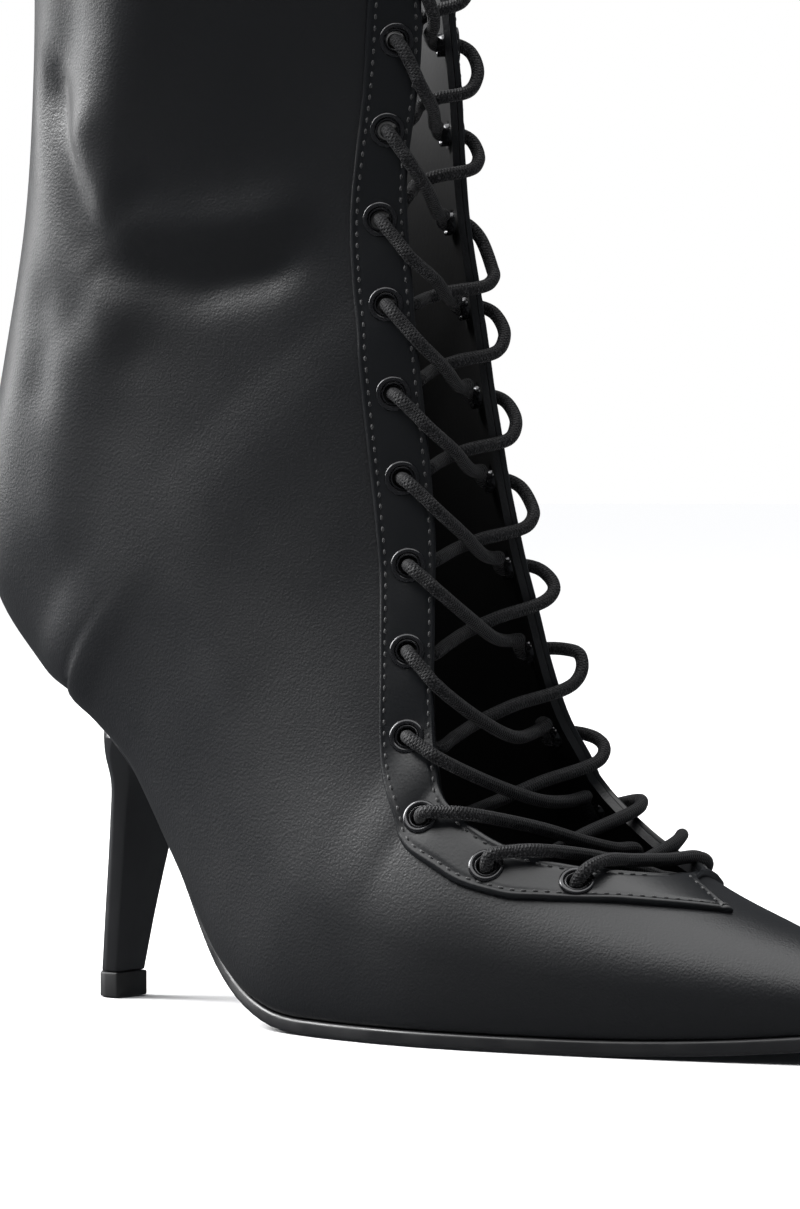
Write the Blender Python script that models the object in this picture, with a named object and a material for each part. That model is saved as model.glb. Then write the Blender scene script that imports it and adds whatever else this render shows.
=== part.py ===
"""Lace up ankle boot for the right foot: pointed toe, slim high heel, open laced front.

The upper is one hollow shell worked out from a fan of sections. Each section is a
flat loop that runs from the sole, or from the back of the leg, up to the ridge of
the instep or shin. All sizes below are in millimetres, the model is in metres.
Frame: toe towards +X, outer side of the foot towards -Y, +Z up, floor at Z = 0 and
the origin in the middle of the heel tip's face. Sections are written from a line
LENGTH behind the toe tip, and solid() moves what is made to the origin.
"""

import math

import bmesh
import bpy
from mathutils import Vector

MM = 0.001

# Driving dimensions of the boot
LENGTH = 238.0
SHAFT_HEIGHT = 234.0
SEAT_HEIGHT = 66.0
BALL_WIDTH = 77.0
COLLAR_WIDTH = 89.0
WALL = 2.0
GAP = 0.3
SEAM_GAP = 0.6

# Sole, insole and heel
SOLE_THICKNESS = 3.0
WAIST_THICKNESS = 2.0
SOLE_REACH = 1.6
INSOLE_THICKNESS = 2.2
LASTING_MARGIN = 6.0
HEEL_TIP_HEIGHT = 5.5
HEEL_TIP_LENGTH = 6.4
HEEL_TIP_WIDTH = 10.0
HEEL_TIP_FLARE = 0.4
HEEL_FORWARD = 19.0
HEEL_TOP_LENGTH = 27.0
HEEL_TOP_WIDTH = 40.0
HEEL_TOP_SET = 1.5

# Laced front
THROAT_WIDTH = 54.0
EYESTAY_WIDTH = 12.0
EYESTAY_THICKNESS = 1.4
EYELET_COUNT = 13
EYELET_HOLE = 4.2
EYELET_BARREL = 0.4
EYELET_FLANGE = 7.4
EYELET_RISE = 0.8
LACE_DIAMETER = 3.0
LACE_TUCK = 1.5

# Sections of the upper from the toe tip to the collar.
# ridge_x and low_x are shares of LENGTH. ridge_z and low_z are shares of the rise:
# 0 is the top of the sole, 1 the back of the heel seat and 2 the collar.
# mid_y, out_w, in_w, out_f and in_f are shares of half the width at that section:
# the middle's swing inwards, the outer and inner half widths, and the half widths
# of the flat bottom. belly is where the section is widest, from low to ridge.
# ridge_n and low_n say how square the upper and lower quarters are, 2 is an ellipse.
SECTION_COLUMNS = (
    "ridge_x", "ridge_z", "low_x", "low_z", "mid_y", "out_w", "in_w",
    "out_f", "in_f", "belly", "ridge_n", "low_n",
)
SECTIONS = (
    (0.9985, 0.135, 1.0000, 0.085, 0.10, 0.03, 0.03, 0.02, 0.02, 0.45, 2.00, 2.0),
    (0.9920, 0.150, 0.9945, 0.080, 0.10, 0.09, 0.09, 0.07, 0.07, 0.45, 2.00, 2.0),
    (0.9640, 0.200, 0.9660, 0.062, 0.09, 0.20, 0.19, 0.17, 0.16, 0.42, 2.00, 2.1),
    (0.9080, 0.295, 0.9080, 0.038, 0.08, 0.35, 0.34, 0.30, 0.29, 0.40, 2.00, 2.2),
    (0.8400, 0.380, 0.8370, 0.016, 0.07, 0.53, 0.51, 0.47, 0.45, 0.38, 2.00, 2.2),
    (0.7650, 0.482, 0.7560, 0.003, 0.05, 0.71, 0.68, 0.64, 0.61, 0.37, 1.95, 2.2),
    (0.6850, 0.632, 0.6600, 0.000, 0.03, 0.88, 0.84, 0.80, 0.76, 0.35, 1.90, 2.2),
    (0.6300, 0.812, 0.5700, 0.000, 0.02, 0.99, 0.95, 0.90, 0.85, 0.34, 1.85, 2.2),
    (0.5966, 0.998, 0.4800, 0.000, 0.01, 1.00, 0.97, 0.89, 0.82, 0.34, 1.80, 2.2),
    (0.5756, 1.083, 0.3980, 0.020, 0.00, 0.98, 0.94, 0.80, 0.70, 0.34, 1.75, 2.1),
    (0.5588, 1.190, 0.3260, 0.150, 0.00, 0.94, 0.91, 0.68, 0.58, 0.36, 1.68, 2.0),
    (0.5441, 1.290, 0.2580, 0.470, 0.00, 0.91, 0.88, 0.58, 0.54, 0.38, 1.60, 2.0),
    (0.5294, 1.410, 0.2020, 0.790, 0.00, 0.90, 0.88, 0.57, 0.56, 0.40, 1.54, 2.1),
    (0.5176, 1.520, 0.1550, 0.920, 0.00, 0.91, 0.90, 0.46, 0.46, 0.42, 1.50, 2.4),
    (0.5134, 1.560, 0.1080, 0.995, 0.00, 0.92, 0.92, 0.00, 0.00, 0.43, 1.50, 2.9),
    (0.5084, 1.615, 0.0420, 1.030, 0.00, 0.93, 0.93, 0.00, 0.00, 0.44, 1.48, 2.6),
    (0.5025, 1.690, -0.0170, 1.119, 0.00, 0.94, 0.94, 0.00, 0.00, 0.45, 1.46, 2.3),
    (0.4958, 1.775, -0.0350, 1.238, 0.00, 0.96, 0.96, 0.00, 0.00, 0.46, 1.46, 2.1),
    (0.4874, 1.860, -0.0120, 1.381, 0.00, 0.99, 0.99, 0.00, 0.00, 0.47, 1.46, 2.0),
    (0.4798, 1.930, 0.0260, 1.589, 0.00, 1.04, 1.04, 0.00, 0.00, 0.48, 1.46, 2.0),
    (0.4748, 1.975, 0.0460, 1.798, 0.00, 1.10, 1.10, 0.00, 0.00, 0.48, 1.46, 2.0),
    (0.4723, 2.000, 0.0540, 2.000, 0.00, 1.16, 1.16, 0.00, 0.00, 0.49, 1.46, 2.0),
)
SEAT_END = 14
COLLAR = len(SECTIONS) - 1

# The throat's half opening as a share of half THROAT_WIDTH, and how far the eyestay
# reaches past it as a share of EYESTAY_WIDTH, against the place along SECTIONS.
THROAT_COLUMNS = ("place", "half_gap", "reach")
THROAT = (
    (4.45, 0.00, 0.00),
    (4.80, 0.00, 0.62),
    (5.12, 0.00, 1.15),
    (5.16, 0.14, 1.13),
    (5.24, 0.25, 1.10),
    (5.45, 0.43, 0.95),
    (5.85, 0.67, 0.76),
    (6.30, 0.84, 0.66),
    (7.00, 0.97, 0.63),
    (7.60, 1.00, 0.60),
    (8.30, 0.90, 0.66),
    (9.00, 0.77, 0.74),
    (10.0, 0.60, 0.74),
    (11.0, 0.47, 0.72),
    (12.0, 0.42, 0.70),
    (14.0, 0.38, 0.66),
    (16.0, 0.33, 0.62),
    (18.0, 0.18, 0.74),
    (19.5, 0.15, 0.76),
    (21.0, 0.13, 0.80),
)
THROAT_END = THROAT[2][0]
EYESTAY_END = THROAT[0][0]

# Places along SECTIONS where pieces, cuts and repeats begin and end
EYELET_FIRST = 5.62
EYELET_LAST = 19.6
WINDOW_START = 3.3
WINDOW_END = SEAT_END - 0.55
INSOLE_START = 2.9
INSOLE_END = SEAT_END - 0.75
OUTSOLE_END = SEAT_END - 0.12
WAIST_START = 9.0
WAIST_END = 11.0
HEEL_SEAT_START = 11.4
SEAT_ROUND_START = SEAT_END - 2

# How finely the forms are sampled, and the slivers that a cut may not leave
ROWS_PER_SECTION = 2
SHAFT_START = 17
HALF_COLUMNS = 9
STRIP_ROWS = 28
STRIP_COLUMNS = 7
HOLE_SIDES = 6
EYELET_SIDES = 7
LACE_SIDES = 5
SLIVER = 0.01


def clear_scene():
    """Take everything out of the scene that opens with Blender."""
    for item in list(bpy.data.objects):
        bpy.data.objects.remove(item, do_unlink=True)


def material(name, colour, roughness, metallic=0.0):
    """A Principled material with a plain colour."""
    made = bpy.data.materials.new(name)
    made.use_nodes = True
    shader = made.node_tree.nodes["Principled BSDF"]
    shader.inputs["Base Color"].default_value = (*colour, 1.0)
    shader.inputs["Roughness"].default_value = roughness
    shader.inputs["Metallic"].default_value = metallic
    return made


def solid(name, points, faces, finish=None):
    """A closed mesh object from points in millimetres, its faces turned outwards and
    its origin moved to the middle of the heel tip's face."""
    mesh = bpy.data.meshes.new(name)
    origin = Vector((HEEL_FORWARD + HEEL_TIP_LENGTH / 2.0, 0.0, 0.0))
    mesh.from_pydata([(point - origin) * MM for point in points], [], faces)
    shape = bmesh.new()
    shape.from_mesh(mesh)
    bmesh.ops.remove_doubles(shape, verts=shape.verts, dist=0.000002)
    bmesh.ops.recalc_face_normals(shape, faces=shape.faces)
    bmesh.ops.triangulate(shape, faces=shape.faces)
    shape.to_mesh(mesh)
    shape.free()
    item = bpy.data.objects.new(name, mesh)
    bpy.context.collection.objects.link(item)
    if finish:
        mesh.materials.append(finish)
    return item


def loft(name, rings, finish=None):
    """A closed loft through rings that all have the same number of points."""
    count = len(rings[0])
    points = [point for ring in rings for point in ring]
    faces = [tuple(range(count))]
    for row in range(len(rings) - 1):
        for column in range(count):
            after = (column + 1) % count
            faces.append((
                row * count + column,
                row * count + after,
                (row + 1) * count + after,
                (row + 1) * count + column,
            ))
    faces.append(tuple((len(rings) - 1) * count + column for column in range(count)))
    return solid(name, points, faces, finish)


def combine(item, other, operation):
    """Cut, join or intersect one object with another and keep the result as its mesh."""
    modifier = item.modifiers.new(operation.title(), "BOOLEAN")
    modifier.operation = operation
    modifier.solver = "EXACT"
    modifier.object = other
    bpy.context.view_layer.update()
    shaped = item.evaluated_get(bpy.context.evaluated_depsgraph_get())
    mesh = bpy.data.meshes.new_from_object(shaped)
    item.modifiers.remove(modifier)
    item.data = mesh
    bpy.data.objects.remove(other, do_unlink=True)
    shape = bmesh.new()
    shape.from_mesh(mesh)
    bmesh.ops.remove_doubles(shape, verts=shape.verts, dist=SLIVER * MM)
    bmesh.ops.dissolve_degenerate(shape, edges=shape.edges, dist=SLIVER * MM)
    shape.to_mesh(mesh)
    shape.free()
    return item


def shade(item, angle=35.0):
    """Smooth shading with edges sharper than the angle kept."""
    item.data.shade_smooth()
    item.data.set_sharp_from_angle(angle=math.radians(angle))


def smooth_at(rows, place):
    """Catmull-Rom value of every column of a table at a place between its rows."""
    last = len(rows) - 1
    first = min(int(place), last - 1)
    share = place - first
    before, start, end, after = (
        rows[max(first - 1, 0)], rows[first], rows[first + 1], rows[min(first + 2, last)]
    )
    values = []
    for p0, p1, p2, p3 in zip(before, start, end, after):
        values.append(0.5 * (
            2.0 * p1
            + (p2 - p0) * share
            + (2.0 * p0 - 5.0 * p1 + 4.0 * p2 - p3) * share ** 2
            + (3.0 * p1 - p0 - 3.0 * p2 + p3) * share ** 3
        ))
    return values


def table_at(rows, place):
    """Straight-line value of the last columns of a table whose first column is the place."""
    place = min(max(place, rows[0][0]), rows[-1][0])
    for start, end in zip(rows, rows[1:]):
        if place <= end[0]:
            share = (place - start[0]) / (end[0] - start[0])
            return [a + (b - a) * share for a, b in zip(start[1:], end[1:])]
    return list(rows[-1][1:])


def rise(share):
    """Height in millimetres of a share: 0 sole top, 1 heel seat, 2 collar."""
    bottom = SOLE_THICKNESS + GAP
    if share <= 1.0:
        return bottom + share * (SEAT_HEIGHT - bottom)
    return SEAT_HEIGHT + (share - 1.0) * (SHAFT_HEIGHT - SEAT_HEIGHT)


def half_width(place):
    """Half of the width that the shares of a section are counted in."""
    blend = min(max((place - SEAT_END) / (COLLAR - SEAT_END), 0.0), 1.0)
    collar_share = SECTIONS[COLLAR][SECTION_COLUMNS.index("out_w")]
    return 0.5 * (BALL_WIDTH * (1.0 - blend) + COLLAR_WIDTH / collar_share * blend)


def section(place):
    """Sizes of the section at a place along the boot, in millimetres."""
    shares = dict(zip(SECTION_COLUMNS, smooth_at(SECTIONS, place)))
    half = half_width(place)
    flat = seat_rounding(place)
    return {
        "ridge": Vector((shares["ridge_x"] * LENGTH, 0.0, rise(shares["ridge_z"]))),
        "low": Vector((shares["low_x"] * LENGTH, 0.0, rise(max(shares["low_z"], 0.0)))),
        "mid": shares["mid_y"] * half,
        "width": {-1: shares["out_w"] * half, 1: shares["in_w"] * half},
        "flat": {-1: shares["out_f"] * half * flat, 1: shares["in_f"] * half * flat},
        "belly": shares["belly"],
        "ridge_n": shares["ridge_n"],
        "low_n": shares["low_n"],
    }


def seat_rounding(place):
    """1 along the sole, falling in a round end to 0 at the back of the heel seat."""
    start = SEAT_ROUND_START
    if place <= start:
        return 1.0
    if place >= SEAT_END:
        return 0.0
    # the table's own fall to zero is divided out, so that the end is a true arc
    shares = dict(zip(SECTION_COLUMNS, smooth_at(SECTIONS, place)))
    full = SECTIONS[start][SECTION_COLUMNS.index("out_f")]
    along = (place - start) / (SEAT_END - start)
    return full * math.sqrt(1.0 - along ** 2) / max(shares["out_f"], 0.02)


def on_section(sizes, turn, inset=0.0):
    """Point of a section. turn is -1 at the outer edge of the sole, 0 at the ridge and
    1 at the inner edge. inset moves the loop inwards by a wall."""
    side = -1 if turn < 0.0 else 1
    amount = abs(turn)
    wide = sizes["width"][side] - inset
    flat = max(sizes["flat"][side] - inset, 0.0)
    belly = sizes["belly"]
    if amount <= 0.5:
        angle = (1.0 - 2.0 * amount) * math.pi / 2.0
        power = 2.0 / sizes["ridge_n"]
        across = wide * max(math.cos(angle), 0.0) ** power
        along = belly + (1.0 - belly) * max(math.sin(angle), 0.0) ** power
    else:
        angle = (2.0 * amount - 1.0) * math.pi / 2.0
        power = 2.0 / sizes["low_n"]
        across = flat + (wide - flat) * max(math.cos(angle), 0.0) ** power
        along = belly * (1.0 - max(math.sin(angle), 0.0) ** power)
    upward = sizes["ridge"] - sizes["low"]
    reach = upward.length
    along = inset + along * (reach - 2.0 * inset)
    place = sizes["low"] + upward.normalized() * along
    place.y = sizes["mid"] + side * across
    return place


def turn_at(sizes, across):
    """The turn on a section's upper quarter that lies across millimetres from its middle."""
    side = -1 if across < 0.0 else 1
    share = min(abs(across) / sizes["width"][side], 1.0)
    angle = math.acos(share ** (sizes["ridge_n"] / 2.0))
    return side * (1.0 - angle / (math.pi / 2.0)) / 2.0


def skin(place, across, lift):
    """Point lift millimetres outside the upper, across millimetres from the ridge."""
    return skin_at(place, turn_at(section(place), across), lift)


def skin_at(place, turn, lift):
    """Point lift millimetres outside the upper at a turn of the section."""
    step = 0.05
    here = on_section(section(place), turn)
    ahead = on_section(section(min(place + step, COLLAR)), turn)
    behind = on_section(section(place - step), turn)
    left = on_section(section(place), max(turn - step, -1.0))
    right = on_section(section(place), min(turn + step, 1.0))
    normal = (right - left).cross(ahead - behind).normalized()
    return here + normal * lift


def boot_form(name, inset=0.0):
    """The closed form of the boot, or with an inset the last that fills it."""
    first = 2 if inset else 0
    turns = [column / HALF_COLUMNS for column in range(-HALF_COLUMNS, HALF_COLUMNS + 1)]
    rings = []
    # rows lie closer along the foot than up the shaft
    steps = range(first * ROWS_PER_SECTION, SHAFT_START * ROWS_PER_SECTION)
    foot = [step / ROWS_PER_SECTION for step in steps]
    for place in foot + list(range(SHAFT_START, COLLAR + 1)):
        sizes = section(place)
        rings.append([on_section(sizes, turn, inset) for turn in turns])
    if inset:
        rings.append([point + Vector((0.0, 0.0, 4.0 * WALL)) for point in rings[-1]])
    return loft(name, rings)


def sole_line(place, drop):
    """Point of the sole's middle line, drop millimetres square below the upper."""
    low = section(place)["low"]
    ahead = section(min(place + 0.05, SEAT_END))["low"]
    behind = section(max(place - 0.05, 0.0))["low"]
    along = (behind - ahead).normalized()
    return low + Vector((along.z, 0.0, -along.x)) * drop


def slab(name, start, end, grow, top, bottom, finish=None, past=0.0):
    """A plate that follows the sole's line. grow widens it past the flat bottom, top
    and bottom give its faces as drops below the upper at a place, and past carries a
    cutter on beyond the heel seat."""
    rings = []
    first = math.floor(start * ROWS_PER_SECTION) + 1
    last = math.ceil(end * ROWS_PER_SECTION)
    rows = [start] + [row / ROWS_PER_SECTION for row in range(first, last)]
    # the round end of the heel seat needs closer rows
    rows += [SEAT_END - near for near in (0.25, 0.12, 0.04) if rows[-1] < SEAT_END - near < end]
    for place in rows + [end]:
        sizes = section(place)
        upper_face = sole_line(place, top(place))
        lower_face = sole_line(place, bottom(place))
        reach = {side: max(sizes["flat"][side] + grow(place), 0.35) for side in (-1, 1)}
        rings.append([
            Vector((upper_face.x, sizes["mid"] - reach[-1], upper_face.z)),
            Vector((upper_face.x, sizes["mid"], upper_face.z)),
            Vector((upper_face.x, sizes["mid"] + reach[1], upper_face.z)),
            Vector((lower_face.x, sizes["mid"] + reach[1], lower_face.z)),
            Vector((lower_face.x, sizes["mid"], lower_face.z)),
            Vector((lower_face.x, sizes["mid"] - reach[-1], lower_face.z)),
        ])
    if past:
        onward = (sole_line(end, 0.0) - sole_line(end - 0.2, 0.0)).normalized() * past
        rings.append([point + onward for point in rings[-1]])
    return loft(name, rings, finish)


def throat_shares(place):
    """The throat table's shares at a place, by the names of its columns."""
    return dict(zip(THROAT_COLUMNS[1:], table_at(THROAT, place)))


def throat_half(place):
    """Half opening of the throat in millimetres."""
    return throat_shares(place)["half_gap"] * THROAT_WIDTH / 2.0


def eyestay_half(place):
    """Half width out to the eyestay's seam in millimetres."""
    return throat_half(place) + throat_shares(place)["reach"] * EYESTAY_WIDTH


def front_strip(name, first, half, inner, outer, past=0.0):
    """A curved slab over the ridge from a place up to the collar, between two lifts
    off the upper. It is cut from the upper's own function."""
    rows = [
        first + (COLLAR - first) * (row / STRIP_ROWS) ** 1.4 for row in range(STRIP_ROWS + 1)
    ]
    rings = []
    for place in rows:
        sizes = section(place)
        reach = max(half(place), 0.15)
        left, right = turn_at(sizes, -reach), turn_at(sizes, reach)
        turns = [
            left + (right - left) * column / STRIP_COLUMNS for column in range(STRIP_COLUMNS + 1)
        ]
        ring = [skin_at(place, turn, outer) for turn in turns]
        ring += [skin_at(place, turn, inner) for turn in reversed(turns)]
        rings.append(ring)
    if past:
        rings.append([point + Vector((0.0, 0.0, past)) for point in rings[-1]])
    return loft(name, rings)


def tube(name, route, diameter, sides):
    """A cord through a route of points, with flat ends."""
    rings = []
    for index, point in enumerate(route):
        before = route[max(index - 1, 0)]
        after = route[min(index + 1, len(route) - 1)]
        along = (after - before).normalized()
        side = along.cross(Vector((0.3, 0.1, 1.0))).normalized()
        top = side.cross(along)
        rings.append([
            point + (side * math.cos(turn) + top * math.sin(turn)) * diameter / 2.0
            for turn in (2.0 * math.pi * step / sides for step in range(sides))
        ])
    return loft(name, rings)


def ring_frame(place, across):
    """Centre on the upper's skin and the outward direction there."""
    centre = skin(place, across, 0.0)
    return centre, (skin(place, across, 1.0) - centre).normalized()


def disc_ring(centre, normal, radius, lift, sides):
    """Points of a circle about a normal, lifted off the skin."""
    side = normal.cross(Vector((0.0, 0.0, 1.0)))
    side = side.normalized() if side.length > 0.1 else Vector((1.0, 0.0, 0.0))
    up = side.cross(normal)
    turns = [2.0 * math.pi * (step + 0.5) / sides for step in range(sides)]
    return [
        centre + normal * lift + (side * math.cos(turn) + up * math.sin(turn)) * radius
        for turn in turns
    ]


def eyelet_places():
    """Places of the eyelets, at even distances along the middle of the eyestay."""
    steps = 240
    line = []
    for step in range(steps + 1):
        place = EYELET_FIRST + (EYELET_LAST - EYELET_FIRST) * step / steps
        line.append((place, skin(place, eyelet_across(place), 0.0)))
    walked = [0.0]
    for (_, start), (_, end) in zip(line, line[1:]):
        walked.append(walked[-1] + (end - start).length)
    places = []
    for number in range(EYELET_COUNT):
        target = walked[-1] * number / (EYELET_COUNT - 1)
        index = min(range(len(walked)), key=lambda item: abs(walked[item] - target))
        places.append(line[index][0])
    return places


def eyelet_across(place):
    """Distance of an eyelet from the ridge, in the middle of the eyestay."""
    sizes = section(place)
    middle = 0.5 * (turn_at(sizes, throat_half(place)) + turn_at(sizes, eyestay_half(place)))
    return on_section(sizes, middle).y - sizes["mid"]


def make_upper(finish, places):
    """The leather upper: boot form less the last, the throat and the eyelet holes."""
    upper = boot_form("upper")
    combine(upper, boot_form("last_form", WALL), "DIFFERENCE")
    window = slab(
        "sole_window", WINDOW_START, WINDOW_END,
        lambda place: -LASTING_MARGIN, lambda place: -3.0 * WALL, lambda place: WALL,
    )
    combine(upper, window, "DIFFERENCE")
    throat = front_strip(
        "throat_form", THROAT_END, throat_half, -4.0 * WALL, 3.0 * WALL, 4.0 * WALL,
    )
    combine(upper, throat, "DIFFERENCE")
    for place in places:
        for side in (-1, 1):
            combine(upper, hole_cutter(place, side), "DIFFERENCE")
    upper.data.materials.clear()
    upper.data.materials.append(finish)
    shade(upper)
    return upper


def hole_cutter(place, side):
    """A short post that cuts the hole of one eyelet, its flats clear of the barrel."""
    centre, normal = ring_frame(place, side * eyelet_across(place))
    radius = (EYELET_HOLE / 2.0 + EYELET_BARREL + GAP) / math.cos(math.pi / HOLE_SIDES)
    return loft("hole_form", [
        disc_ring(centre, normal, radius, -2.0 * WALL, HOLE_SIDES),
        disc_ring(centre, normal, radius, 2.0 * WALL, HOLE_SIDES),
    ])


def make_eyestay(finish, places):
    """The band round the throat that carries the eyelets, with its pointed front end."""
    band = front_strip(
        "eyestay", EYESTAY_END, eyestay_half, SEAM_GAP, SEAM_GAP + EYESTAY_THICKNESS,
    )
    throat = front_strip(
        "throat_form", THROAT_END, throat_half, -2.0 * WALL, 3.0 * WALL, 4.0 * WALL,
    )
    combine(band, throat, "DIFFERENCE")
    for place in places:
        for side in (-1, 1):
            combine(band, hole_cutter(place, side), "DIFFERENCE")
    band.data.materials.clear()
    band.data.materials.append(finish)
    shade(band)
    return band


def make_eyelet(name, place, side, finish):
    """One eyelet: a flange that lies on the eyestay and a barrel through both layers."""
    centre, normal = ring_frame(place, side * eyelet_across(place))
    inner = EYELET_HOLE / 2.0
    barrel = inner + EYELET_BARREL
    flange = EYELET_FLANGE / 2.0
    seat = SEAM_GAP + EYESTAY_THICKNESS + GAP
    sides = EYELET_SIDES
    profile = (
        (inner, -WALL), (inner, seat + EYELET_RISE), (flange, seat), (barrel, seat), (barrel, -WALL),
    )
    points = []
    for radius, lift in profile:
        points += disc_ring(centre, normal, radius, lift, sides)
    faces = []
    for row in range(len(profile)):
        following = (row + 1) % len(profile)
        for column in range(sides):
            after = (column + 1) % sides
            faces.append((
                row * sides + column, row * sides + after,
                following * sides + after, following * sides + column,
            ))
    eyelet = solid(name, points, faces, finish)
    shade(eyelet)
    return eyelet


def lace_over():
    """Lift of the lace's middle line where it lies on an eyelet."""
    return SEAM_GAP + EYESTAY_THICKNESS + EYELET_RISE + 2.0 * GAP + LACE_DIAMETER / 2.0


def strand(name, upper_place, lower_place, side):
    """One run of lace: out over an eyelet, across the throat, and under the far flap."""
    over = lace_over()
    under = -WALL - 2.0 * GAP - LACE_DIAMETER / 2.0
    start = eyelet_across(upper_place)
    end = eyelet_across(lower_place)
    mid = 0.5 * (upper_place + lower_place)
    edge_over = throat_half(upper_place)
    edge_under = throat_half(lower_place)
    route = [
        skin(upper_place, side * start, over),
        skin(0.85 * upper_place + 0.15 * lower_place, side * (edge_over + 1.0), over + 0.6),
        skin(mid, side * 0.35 * edge_over, 0.5 * (over + under) + 1.2),
        skin(mid, -side * 0.35 * edge_under, 0.5 * (over + under) - 1.2),
        skin(0.15 * upper_place + 0.85 * lower_place, -side * (edge_under - LACE_TUCK), under - 0.8),
        skin(lower_place, -side * (end - 1.0), under - 0.6),
    ]
    return tube(name, route, LACE_DIAMETER, LACE_SIDES)


def make_crossing(name, upper_place, lower_place, finish):
    """Two runs of lace that cross in the throat, joined where they touch."""
    crossing = strand(name, upper_place, lower_place, -1)
    combine(crossing, strand("run", upper_place, lower_place, 1), "UNION")
    crossing.data.materials.clear()
    crossing.data.materials.append(finish)
    shade(crossing, 50.0)
    return crossing


def make_bar(name, place, finish):
    """The run of lace that bars across a pair of eyelets outside the throat."""
    ends = eyelet_across(place)
    route = [
        skin(place, ends * share, lace_over())
        for share in (-1.0, -0.75, -0.5, -0.25, 0.0, 0.25, 0.5, 0.75, 1.0)
    ]
    bar = tube(name, route, LACE_DIAMETER, LACE_SIDES)
    bar.data.materials.append(finish)
    shade(bar, 50.0)
    return bar


def sole_thickness(place):
    """Full thickness under the ball and toe, thinner from the waist back."""
    blend = min(max((place - WAIST_START) / (WAIST_END - WAIST_START), 0.0), 1.0)
    return SOLE_THICKNESS * (1.0 - blend) + WAIST_THICKNESS * blend


def sole_grow(place):
    """The sole shows past the upper's flat at the ball and toe, not at the waist."""
    blend = min(max((place - WAIST_START) / (WAIST_END - WAIST_START), 0.0), 1.0)
    return SOLE_REACH * (1.0 - blend) - 2.0 * GAP * blend


def make_outsole(finish):
    """The thin outsole, toe tip to the back of the heel seat."""
    sole = slab(
        "outsole", 0.0, OUTSOLE_END, sole_grow,
        lambda place: GAP, lambda place: GAP + sole_thickness(place), finish,
    )
    shade(sole)
    return sole


def make_insole(finish):
    """The insole board that lies on the lasting margin inside the upper."""
    insole = slab(
        "insole", INSOLE_START, INSOLE_END,
        lambda place: -WALL - 2.0 * GAP,
        lambda place: -(WALL + GAP + INSOLE_THICKNESS), lambda place: -(WALL + GAP), finish,
    )
    shade(insole)
    return insole


# Heel sections from the tip up. height is a share of the way to SEAT_HEIGHT. back,
# front and width are shares of the way from the tip's size to the top's.
HEEL_COLUMNS = ("height", "back", "front", "width")
HEEL = (
    (0.00, 0.00, 0.00, 0.00),
    (0.22, 0.24, 0.08, 0.09),
    (0.42, 0.50, 0.16, 0.19),
    (0.56, 0.68, 0.22, 0.27),
    (0.70, 0.88, 0.31, 0.40),
    (0.82, 0.92, 0.48, 0.68),
    (0.94, 1.00, 0.85, 0.96),
    (1.20, 1.00, 1.00, 1.00),
)


def heel_ring(back, front, width, height):
    """A level ring of the heel: flat breast, bevelled sides and a narrower back."""
    half = width / 2.0
    depth = front - back
    outline = (
        (0.00, -0.42), (0.26, -0.86), (0.55, -1.00), (1.00, -0.92),
        (1.00, 0.92), (0.55, 1.00), (0.26, 0.86), (0.00, 0.42),
    )
    return [Vector((back + depth * u, half * v, height)) for u, v in outline]


def make_heel(finish):
    """The heel block, with its top cut to the sole that it is screwed to."""
    top_back = section(SEAT_END)["low"].x + HEEL_TOP_SET
    top_front = top_back + HEEL_TOP_LENGTH
    tip_back = HEEL_FORWARD
    tip_front = HEEL_FORWARD + HEEL_TIP_LENGTH
    foot = HEEL_TIP_HEIGHT + GAP
    rings = []
    for row in HEEL:
        shares = dict(zip(HEEL_COLUMNS, row))
        rings.append(heel_ring(
            tip_back + (top_back - tip_back) * shares["back"],
            tip_front + (top_front - tip_front) * shares["front"],
            HEEL_TIP_WIDTH + (HEEL_TOP_WIDTH - HEEL_TIP_WIDTH) * shares["width"],
            foot + (SEAT_HEIGHT - foot) * shares["height"],
        ))
    heel = loft("heel", rings, finish)
    above = slab(
        "seat_form", HEEL_SEAT_START, SEAT_END - 0.01, lambda place: HEEL_TOP_WIDTH,
        lambda place: -HEEL_TOP_WIDTH, lambda place: 2.0 * GAP + sole_thickness(place),
        past=HEEL_TOP_LENGTH,
    )
    combine(heel, above, "DIFFERENCE")
    shade(heel, 25.0)
    return heel


def make_heel_tip(finish):
    """The replaceable rubber tip under the heel."""
    back = HEEL_FORWARD - HEEL_TIP_FLARE
    front = HEEL_FORWARD + HEEL_TIP_LENGTH + HEEL_TIP_FLARE
    width = HEEL_TIP_WIDTH + 2.0 * HEEL_TIP_FLARE
    tip = loft("heel_tip", [
        heel_ring(back, front, width, 0.0),
        heel_ring(back, front, width, HEEL_TIP_HEIGHT),
    ], finish)
    shade(tip, 25.0)
    return tip


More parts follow.
